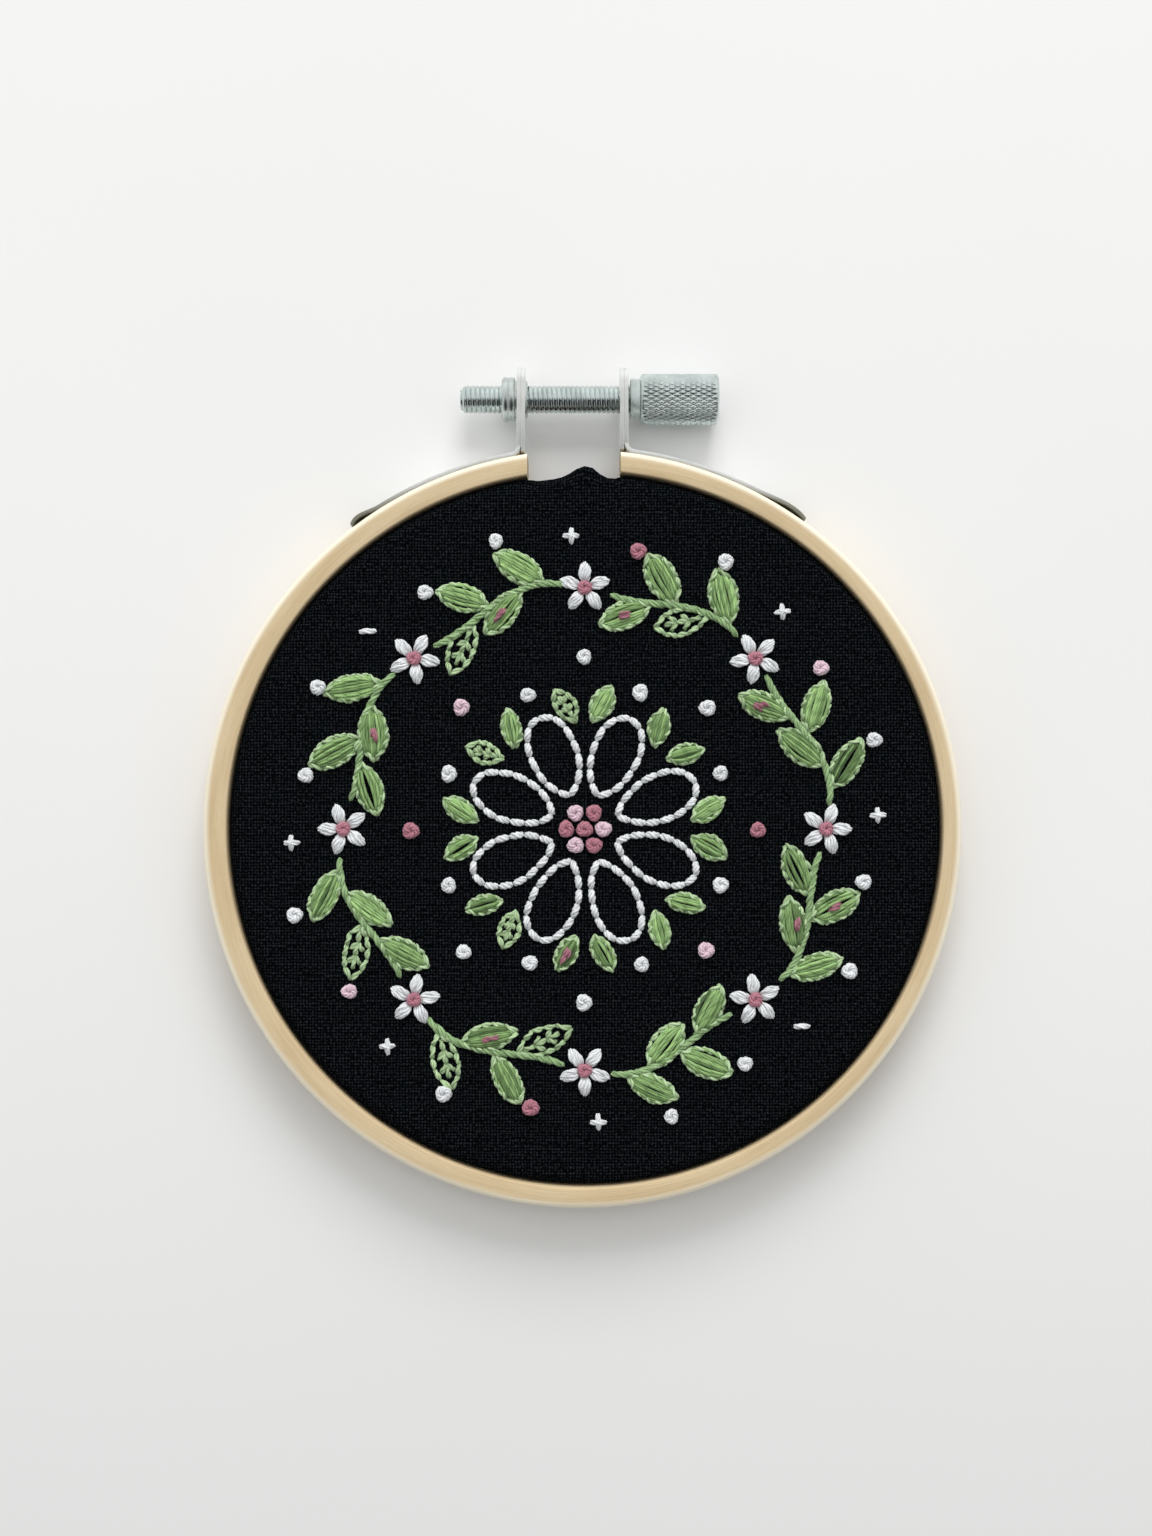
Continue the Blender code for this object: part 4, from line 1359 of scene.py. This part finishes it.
    def run_threads_behind(self) -> None:
        """Lays the runs of thread that show on the cloth's back."""
        turns = np.linspace(0, tau, 90, endpoint=False)
        points = self.jittered(self.vine_point(turns), 0.5 * MM)
        ends = np.roll(points, -1, axis=0)
        share = np.linspace(0, 1, 7)
        cloth_back = self.face - self.cloth_thickness
        height = cloth_back - 0.12 * MM - 0.22 * MM * np.sin(pi * share)
        flat = points[:, None] + (ends - points)[:, None] * share[:, None]
        paths = np.concatenate((flat, np.broadcast_to(height[:, None], flat.shape[:2] + (1,))), axis=-1)
        paths += np.array((self.centre.x, self.centre.y, 0))
        self.back.add(paths, 0.25 * MM, self.random.uniform(0.6, 1.0, len(paths)))

    def build(self, effects: Effects) -> None:
        """Works all stitches and dresses each colour of thread.

        Args:
            effects: The shared shader groups.
        """
        self.stitch_vine()
        self.stitch_open_petals()
        self.stitch_leaves()
        self.stitch_blossoms()
        self.tie_knots()
        self.stitch_crosses()
        self.run_threads_behind()
        white = ThreadFinish("white_thread", (0.88, 0.90, 0.92), (0.34, 0.36, 0.38)).build(effects)
        vine = ThreadFinish("vine_green_thread", (0.37, 0.55, 0.27), (0.05, 0.095, 0.028)).build(effects)
        green = ThreadFinish("leaf_green_thread", (0.42, 0.66, 0.26), (0.032, 0.07, 0.018)).build(effects)
        pale = ThreadFinish("pale_green_thread", (0.54, 0.72, 0.42), (0.09, 0.15, 0.06)).build(effects)
        pink = ThreadFinish("pale_pink_thread", (0.82, 0.62, 0.71), (0.38, 0.25, 0.30)).build(effects)
        rose = ThreadFinish("rose_thread", (0.52, 0.22, 0.28), (0.20, 0.08, 0.10)).build(effects)
        pairs = (
            (self.white, white), (self.vine_green, vine), (self.leaf_green, green),
            (self.pale_green, pale), (self.blossoms, white), (self.white_knots, white),
            (self.pale_pink_knots, pink), (self.rose_knots, rose), (self.crosses, white),
            (self.back, vine),
        )
        for thread, material in pairs:
            dress(thread.build(), material, Body.HOOP)


# Hardware


def combine(piece: bpy.types.Object, other: bpy.types.Object, operation: str) -> None:
    """Joins another closed piece to a piece, or cuts it away, and removes the other.

    Args:
        piece: The piece that stays.
        other: The piece that joins or cuts it.
        operation: UNION or DIFFERENCE.
    """
    select_only(piece)
    joint = piece.modifiers.new("joint", "BOOLEAN")
    joint.operation = operation
    joint.object = other
    bpy.ops.object.modifier_apply(modifier=joint.name)
    bpy.data.objects.remove(other, do_unlink=True)


def rolled_surface(name: str, stations: np.ndarray, around: int, axis: Vector,
                   relief: Relief | None = None) -> bpy.types.Object:
    """Rolls a grid into a closed round piece that lies along X.

    Stations that end where they start make a ring with a bore, and others are capped.

    Args:
        name: The piece's name.
        stations: Rows of (x, radius) from end to end.
        around: How many faces go round it.
        axis: A point on its axis.
        relief: The height over the plain radius, from x and the angle round the axis, if any.

    Returns:
        The closed piece.
    """
    deselect_all()
    bpy.ops.mesh.primitive_grid_add(x_subdivisions=len(stations) - 1, y_subdivisions=around, size=1)
    piece = bpy.context.object
    piece.name = name
    piece.data.name = name
    flat = np.empty(len(piece.data.vertices) * 3, np.float32)
    piece.data.vertices.foreach_get("co", flat)
    flat = flat.reshape(-1, 3)
    row = np.rint((flat[:, 0] + 0.5) * (len(stations) - 1)).astype(int)
    column = np.rint((flat[:, 1] + 0.5) * around).astype(int) % around
    angle = tau * column / around
    x, radius = stations[row].T
    radius = radius + (relief(x, angle) if relief else 0)
    rolled = np.stack((x, axis.y + radius * np.cos(angle), axis.z + radius * np.sin(angle)), axis=-1)
    piece.data.vertices.foreach_set("co", rolled.astype(np.float32).ravel())
    piece.data.update()
    edit_only(piece)
    bpy.ops.mesh.select_all(action="SELECT")
    bpy.ops.mesh.remove_doubles(threshold=0.0005 * MM)
    ends = () if np.allclose(stations[0], stations[-1]) else (0, -1)
    for end in ends:
        reach = stations[end][1] + 0.001 * MM
        select_vertices(piece, lambda co, end=end, reach=reach: abs(co.x - stations[end][0]) < 0.001 * MM
                        and hypot(co.y - axis.y, co.z - axis.z) < reach)
        bpy.ops.mesh.edge_face_add()
    bpy.ops.mesh.select_all(action="SELECT")
    bpy.ops.mesh.normals_make_consistent(inside=False)
    return finish_shape(piece, 50)


@dataclass
class ThumbScrew:
    """The screw with its thread, its collar and its knurled knob."""

    axis: Vector
    shank_radius: float = 2.0 * MM
    thread_pitch: float = 0.7 * MM
    thread_depth: float = 0.21 * MM
    tip: float = -17.9 * MM
    tip_chamfer: float = 0.6 * MM
    collar_start: float = 7.05 * MM
    collar_radius: float = 3.0 * MM
    knob_start: float = 8.5 * MM
    knob_end: float = 20.0 * MM
    knob_radius: float = 3.7 * MM
    knob_chamfer: float = 0.5 * MM
    knurl_count: int = 32
    knurl_pitch: float = 1.54 * MM
    knurl_depth: float = 0.20 * MM
    dimple: tuple[float, float] = (1.5 * MM, 0.35 * MM)
    steps_per_pitch: int = 8

    def thread_relief(self, x: np.ndarray, angle: np.ndarray) -> np.ndarray:
        """Works out the thread's groove, which runs out at the tip.

        Args:
            x: Places along the screw.
            angle: Angles round it.

        Returns:
            The depth below the crest, as a negative height.
        """
        phase = (x / self.thread_pitch - angle / tau) % 1
        groove = np.clip(1.12 - 5.0 * np.abs(phase - 0.5), 0, 1)
        inside = (x > self.tip + 0.01 * MM) & (x < self.collar_start + 1.0 * MM)
        return -self.thread_depth * groove * inside

    def build_shank(self) -> bpy.types.Object:
        """Rolls the threaded shank, whose far end is inside the collar."""
        step = self.thread_pitch / self.steps_per_pitch
        end = self.collar_start + 1.0 * MM
        x = np.arange(self.tip, end, step)
        radius = np.clip(self.shank_radius - self.tip_chamfer + (x - self.tip), 0, self.shank_radius)
        return rolled_surface("shank", np.stack((x, radius), axis=-1), 48, self.axis, self.thread_relief)

    def knurl_relief(self, x: np.ndarray, angle: np.ndarray) -> np.ndarray:
        """Works out the diamond knurl, which fades at the knob's ends.

        Args:
            x: Places along the knob.
            angle: Angles round it.

        Returns:
            The depth below the diamonds' tops, as a negative height.
        """
        turns = self.knurl_count * angle / tau
        along = (x - self.knob_start) / self.knurl_pitch
        one_way = np.abs((turns + along + 0.5) % 1 - 0.5)
        other_way = np.abs((turns - along + 0.5) % 1 - 0.5)
        depth = np.clip(1 - np.minimum(one_way, other_way) / 0.32, 0, 1)
        ends = np.minimum(x - self.knob_start - self.knob_chamfer, self.knob_end - self.knob_chamfer - x)
        return -self.knurl_depth * depth * np.clip(ends / (0.25 * MM) + 0.6, 0, 1)

    def build_knob(self) -> bpy.types.Object:
        """Rolls the collar and the knurled knob as one closed shape."""
        easing = 0.12 * MM
        rows = [
            (self.collar_start, self.collar_radius - 0.5 * MM),
            (self.collar_start, self.collar_radius - easing),
            (self.collar_start + easing, self.collar_radius),
            (self.knob_start - easing, self.collar_radius),
            (self.knob_start, self.collar_radius + easing),
        ]
        for i in range(1, 5):
            turn = pi / 2 * i / 4
            rows.append((self.knob_start + self.knob_chamfer * (1 - cos(turn)),
                         self.knob_radius - self.knob_chamfer * (1 - sin(turn))))
        first, last = self.knob_start + self.knob_chamfer, self.knob_end - self.knob_chamfer
        count = round((last - first) / self.knurl_pitch * 2 * self.steps_per_pitch)
        rows += [(float(x), self.knob_radius) for x in np.linspace(first, last, count)[1:]]
        for i in range(1, 5):
            turn = pi / 2 * i / 4
            rows.append((last + self.knob_chamfer * sin(turn),
                         self.knob_radius - self.knob_chamfer * (1 - cos(turn))))
        width, sunk = self.dimple
        rows += [(self.knob_end, width + easing), (self.knob_end - easing, width),
                 (self.knob_end - sunk, width / 3)]
        return rolled_surface("knob", np.array(rows), 8 * self.knurl_count, self.axis, self.knurl_relief)

    def build(self, effects: Effects) -> None:
        """Builds the screw from its two shapes and dresses it.

        Args:
            effects: The shared shader groups.
        """
        shank, knob = self.build_shank(), self.build_knob()
        combine(shank, knob, "UNION")
        shank.name = shank.data.name = "knurled_thumb_screw"
        finish_shape(shank, 50)
        zinc = PlatedFinish("zinc_plate", (0.68, 0.75, 0.74), (0.57, 0.635, 0.625), 0.25)
        dress(shank, zinc.build(effects), Body.SCREW, ("thumb_screw",))


@dataclass
class Nut:
    """The round nut, whose neck is pressed through the left lug."""

    axis: Vector
    lip: float = -8.05 * MM
    face: float = -9.85 * MM
    back: float = -11.75 * MM
    neck_radius: float = 2.75 * MM
    radius: float = 3.2 * MM
    bore: float = 2.3 * MM
    easing: float = 0.15 * MM
    groove: float = 0.12 * MM

    def build(self, nickel: bpy.types.Material) -> None:
        """Rolls the nut with eased edges and a turned groove, and dresses it.

        Args:
            nickel: The plated finish.
        """
        ease = self.easing
        waist = (self.face + self.back) / 2
        rows = [
            (self.lip, self.bore + ease), (self.lip, self.neck_radius - ease),
            (self.lip - ease, self.neck_radius), (self.face, self.neck_radius),
            (self.face, self.radius - ease), (self.face - ease, self.radius),
            (waist + ease, self.radius), (waist, self.radius - self.groove),
            (waist - ease, self.radius), (self.back + 2 * ease, self.radius),
            (self.back, self.radius - 2 * ease), (self.back, self.bore + ease),
            (self.back + ease, self.bore), (self.lip - ease, self.bore),
            (self.lip, self.bore + ease),
        ]
        nut = rolled_surface("round_nut", np.array(rows), 64, self.axis)
        dress(nut, nickel, Body.HOOP, ("nut",))


@dataclass
class Bracket:
    """One bracket: a strap along the ring, whose strip turns up and is folded double into a lug."""

    name: str
    node: str
    side: int
    centre: Vector
    screw: Vector
    lug_inside: float
    strap_end: float
    hole_radius: float
    arch_length: float
    arch_height: float
    ring_radius: float = 55.1 * MM
    seat: float = 0.02 * MM
    strip: float = 0.55 * MM
    strap_width: float = 7.6 * MM
    layer: float = 0.63 * MM
    lug_thickness: float = 1.25 * MM
    lug_width: float = 7.0 * MM
    lug_top: float = 67.5 * MM
    lug_corner: float = 2.2 * MM
    lug_clearance: float = 0.1 * MM
    bend: float = 1.0 * MM
    sunk: float = 0.02 * MM
    easing: float = 0.12 * MM
    strip_easing: float = 0.05 * MM

    def bend_place(self) -> tuple[float, Vector]:
        """Works out where the strip turns from the ring up into the lug.

        Returns:
            The angle from +Y in radians, and the middle of the bend.
        """
        away = self.ring_radius + self.seat + self.strip + self.bend
        turn = asin((self.lug_inside + self.lug_thickness + self.bend - self.sunk) / away)
        return turn, self.centre + Vector((self.side * away * sin(turn), away * cos(turn), 0))

    def turn_of(self, place: Vector) -> float:
        """Returns a place's angle from +Y round the hoop, towards the strap's end."""
        return atan2(self.side * (place.x - self.centre.x), place.y - self.centre.y)

    def build_strap(self) -> bpy.types.Object:
        """Spins the strip along the ring, bends it upright and arches its far end.

        Returns:
            The strap, closed at both ends.
        """
        near, middle = self.bend_place()
        far = radians(self.strap_end)
        radius = self.ring_radius + self.seat + self.strip / 2
        strap = upright_profile(self.name, self.centre, pi / 2 - self.side * far, radius, self.strip,
                                self.strap_width, self.screw.z - self.strap_width / 2)
        bpy.ops.mesh.select_all(action="SELECT")
        bpy.ops.mesh.bevel(offset=self.strip_easing, segments=2, affect="VERTICES")
        bpy.ops.mesh.select_all(action="SELECT")
        bpy.ops.mesh.spin(steps=64, angle=-self.side * (far - near), center=self.centre, axis=(0, 0, 1))
        bpy.ops.mesh.spin(steps=10, angle=self.side * (pi / 2 - near), center=middle, axis=(0, 0, 1))
        narrow = (self.lug_width - 0.2 * MM) / self.strap_width
        bpy.ops.transform.resize(value=(1, 1, narrow), center_override=self.screw)
        bpy.ops.mesh.extrude_region_move(TRANSFORM_OT_translate={"value": (0, self.bend, 0)})
        bpy.ops.mesh.edge_face_add()
        select_vertices(strap, lambda co: self.turn_of(co) > far - 0.0001)
        bpy.ops.mesh.edge_face_add()
        close_surface()
        bpy.ops.object.mode_set(mode="OBJECT")
        self.arch_end(strap, far)
        return strap

    def arch_end(self, strap: bpy.types.Object, far: float) -> None:
        """Lifts the strap's last stretch off the ring, with its tip back on the wood.

        Args:
            strap: The strap.
            far: The angle of its far end from +Y.
        """
        length = self.arch_length / self.ring_radius
        for vertex in strap.data.vertices:
            share = min((self.turn_of(vertex.co) - far) / length + 1, 1)
            if share > 0:
                out = vertex.co - self.centre
                lift = self.arch_height * abs(sin(pi * share**1.8)) ** 0.8
                vertex.co += lift * Vector((out.x, out.y, 0)).normalized()

    def build_layer(self, near: float, bottom: float) -> bpy.types.Object:
        """Builds one layer of the folded lug, with its rounded corners and its hole.

        Args:
            near: The distance of its inner face from the middle of the hoop, along X.
            bottom: The distance of its lower end from the hoop's centre, along Y.

        Returns:
            The layer.
        """
        deselect_all()
        middle = self.centre.y + (bottom + self.lug_top) / 2
        place = Vector((self.side * near, middle, self.screw.z))
        bpy.ops.mesh.primitive_plane_add(size=1, location=place, rotation=(0, pi / 2, 0))
        layer = bpy.context.object
        layer.scale = (self.lug_width, self.lug_top - bottom, 1)
        bpy.ops.object.transform_apply(location=True, rotation=True, scale=True)
        edit_only(layer)
        select_vertices(layer, lambda co: co.y > middle)
        bpy.ops.mesh.bevel(offset=self.lug_corner, segments=10, affect="VERTICES")
        bpy.ops.mesh.select_all(action="SELECT")
        bpy.ops.mesh.extrude_region_move(TRANSFORM_OT_translate={"value": (self.side * self.layer, 0, 0)})
        close_surface()
        deselect_all()
        bpy.ops.mesh.primitive_cylinder_add(
            vertices=64, radius=self.hole_radius, depth=4 * self.layer,
            location=(place.x, self.screw.y, self.screw.z), rotation=(0, pi / 2, 0))
        combine(layer, bpy.context.object, "DIFFERENCE")
        eased = layer.modifiers.new("eased", "BEVEL")
        eased.width = self.easing
        eased.segments = 2
        eased.limit_method = "ANGLE"
        eased.angle_limit = radians(40)
        select_only(layer)
        bpy.ops.object.modifier_apply(modifier=eased.name)
        return layer

    def build(self, nickel: bpy.types.Material) -> None:
        """Joins the strap and the lug's two layers, and dresses the bracket.

        Args:
            nickel: The plated finish.
        """
        strap = self.build_strap()
        _, middle = self.bend_place()
        over_ring = sqrt((self.ring_radius + PIECE_GAP) ** 2 - self.lug_inside**2)
        combine(strap, self.build_layer(self.lug_inside, over_ring + self.lug_clearance), "UNION")
        outer = self.lug_inside + self.lug_thickness - self.layer
        combine(strap, self.build_layer(outer, middle.y - self.centre.y - self.lug_clearance), "UNION")
        dress(finish_shape(strap), nickel, Body.HOOP, (self.node,))


def build_hardware(centre: Vector, screw: Vector, effects: Effects) -> None:
    """Builds both brackets, the nut and the thumb screw.

    Args:
        centre: The hoop's centre.
        screw: A point on the screw's axis.
        effects: The shared shader groups.
    """
    # The satin plate's last colour is painted shade, darkening the strap ends.
    satin = PlatedFinish("satin_nickel_plate", (0.97, 0.98, 0.96), (0.90, 0.92, 0.90), 0.50,
                         (0.34, 0.33, 0.26)).build(effects)
    turned = PlatedFinish("turned_nickel_plate", (0.64, 0.69, 0.68), (0.52, 0.57, 0.56), 0.25)
    Bracket("left_bracket", "bracket_left", -1, centre, screw, 8.3 * MM, 37.3, 3.05 * MM,
            4.8 * MM, 0.50 * MM).build(satin)
    Bracket("right_bracket", "bracket_right", 1, centre, screw, 5.5 * MM, 35.8, 2.3 * MM,
            8.5 * MM, 0.45 * MM).build(satin)
    Nut(screw).build(turned.build(effects))
    ThumbScrew(screw).build(effects)


# Studio


@dataclass(frozen=True)
class SoftLight:
    """One square soft light that shines at the hoop."""

    name: str
    place: tuple[float, float, float]
    size: float
    watts: float
    colour: Colour


WINDOW = SoftLight("window", (0.10, 1.05, 0.75), 0.65, 9.0, (1.0, 0.995, 0.985))
CEILING = SoftLight("ceiling", (-0.10, 0.05, 1.25), 1.2, 2.4, (0.99, 0.995, 1.0))


@dataclass
class Studio:
    """The pale floor, the soft light and the camera."""

    look_x: float = -0.9 * MM
    look_y: float = 2.65 * MM
    front: float = 9.0 * MM
    field_height: float = 222.6 * MM
    distance: float = 280.0 * MM
    floor_size: float = 3.0
    paper: tuple[Colour, Colour] = ((0.865, 0.865, 0.86), (0.88, 0.88, 0.878))
    # Painted shade: the darker floor colour, and where it fades in towards -Y.
    painted_falloff_colour: Colour = (0.79, 0.795, 0.79)
    painted_falloff_reach: tuple[float, float] = (-0.14, 0.0)
    sky_strength: float = 0.70
    sky_high: Colour = (1.25, 1.25, 1.24)
    sky_far: Colour = (1.5, 1.52, 1.5)
    sky_low: Colour = (0.62, 0.63, 0.63)
    dark_sky: Colour = (0.015, 0.018, 0.018)
    dark_place: tuple[float, float, float] = (0.0, -0.62, 0.78)
    dark_edge: float = 0.68
    dark_core: float = 0.95

    def build_floor(self) -> None:
        """Lays the pale floor, with painted shade that darkens it towards -Y."""
        deselect_all()
        bpy.ops.mesh.primitive_plane_add(size=self.floor_size, location=(0, 0, 0))
        floor = bpy.context.object
        floor.name = "pale_floor"
        made, graph, shader = new_material("pale_floor")
        place = graph.add("ShaderNodeTexCoord").outputs["Object"]
        clouds = graph.remap(graph.noise(place, 9.0, 2.0), 0.3, 0.7, 0.0, 1.0)
        paper = graph.mix(clouds, *(rgba(colour) for colour in self.paper))
        # Painted shade: the floor darkens towards -Y, in place of the light falling off there.
        near = graph.remap(graph.axes(place)[1], *self.painted_falloff_reach, 1.0, 0.0)
        colour = graph.mix(near, paper, rgba(self.painted_falloff_colour))
        graph.feed(shader.inputs["Base Color"], colour)
        shader.inputs["Roughness"].default_value = 0.9
        shader.inputs["Specular IOR Level"].default_value = 0.1
        floor.data.materials.append(made)

    def build_light(self, light: SoftLight) -> None:
        """Hangs one light, which the metal doesn't mirror.

        Args:
            light: The light.
        """
        lamp = bpy.data.lights.new(light.name, "AREA")
        lamp.size = light.size
        lamp.energy = light.watts
        lamp.color = light.colour
        hung = bpy.data.objects.new(light.name, lamp)
        hung.location = light.place
        hung.rotation_euler = (-Vector(light.place)).to_track_quat("-Z", "Y").to_euler()
        hung.visible_glossy = False
        bpy.context.scene.collection.objects.link(hung)

    def build_world(self) -> None:
        """Sets a soft sky, brightest low down beyond the screw and dark in a patch towards -Y."""
        world = bpy.data.worlds.new("soft_room")
        world.use_nodes = True
        graph = Graph(world.node_tree)
        direction = graph.add("ShaderNodeTexCoord").outputs["Generated"]
        towards = graph.axes(direction)[1]
        high, far = graph.remap(towards, -0.9, 0.5, 0.0, 1.0), graph.remap(towards, 0.60, 0.95, 0.0, 1.0)
        bright = graph.mix(high, rgba(self.sky_low), rgba(self.sky_high))
        bright = graph.mix(far, bright, rgba(self.sky_far))
        inputs = {0: direction, 1: Vector(self.dark_place).normalized()}
        nearness = graph.add("ShaderNodeVectorMath", inputs, operation="DOT_PRODUCT").outputs["Value"]
        patch = graph.remap(nearness, self.dark_edge, self.dark_core, 0.0, 1.0)
        background = world.node_tree.nodes["Background"]
        graph.feed(background.inputs["Color"], graph.mix(patch, bright, rgba(self.dark_sky)))
        background.inputs["Strength"].default_value = self.sky_strength
        bpy.context.scene.world = world

    def build_camera(self) -> None:
        """Sets the camera straight above the hoop, framed as in the photograph."""
        lens = bpy.data.cameras.new("camera")
        lens.lens = lens.sensor_width * self.distance / self.field_height
        lens.clip_start = 0.01
        camera = bpy.data.objects.new("camera", lens)
        camera.location = (self.look_x, self.look_y, self.front + self.distance)
        bpy.context.scene.collection.objects.link(camera)
        bpy.context.scene.camera = camera

    def build(self) -> None:
        """Builds the floor, the lights, the sky and the camera."""
        self.build_floor()
        self.build_light(WINDOW)
        self.build_light(CEILING)
        self.build_world()
        self.build_camera()
        bpy.context.scene.view_settings.view_transform = "Standard"


def main() -> None:
    """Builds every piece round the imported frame, in order."""
    logging.basicConfig(level=logging.INFO, format="%(message)s")
    for old in list(bpy.data.objects):
        bpy.data.objects.remove(old, do_unlink=True)
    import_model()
    low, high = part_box("outer_ring")
    ring_radius = (high[0] - low[0]) / 2
    centre = Vector(((low[0] + high[0]) / 2, low[1] + ring_radius, 0))
    cloth_low, cloth_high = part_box("cloth")
    cloth_centre = Vector(((cloth_low[0] + cloth_high[0]) / 2, centre.y, 0))
    screw_low, screw_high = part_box("thumb_screw")
    screw_axis = Vector((0, (screw_low[1] + screw_high[1]) / 2, (screw_low[2] + screw_high[2]) / 2))

    effects = Effects()
    embroidery = Embroidery(cloth_centre)
    WoodRings(centre).build(effects)
    StretchedCloth(cloth_centre).build(effects, embroidery.stitched_points())
    embroidery.build(effects)
    build_hardware(centre, screw_axis, effects)
    Studio().build()


if __name__ == "__main__":
    main()
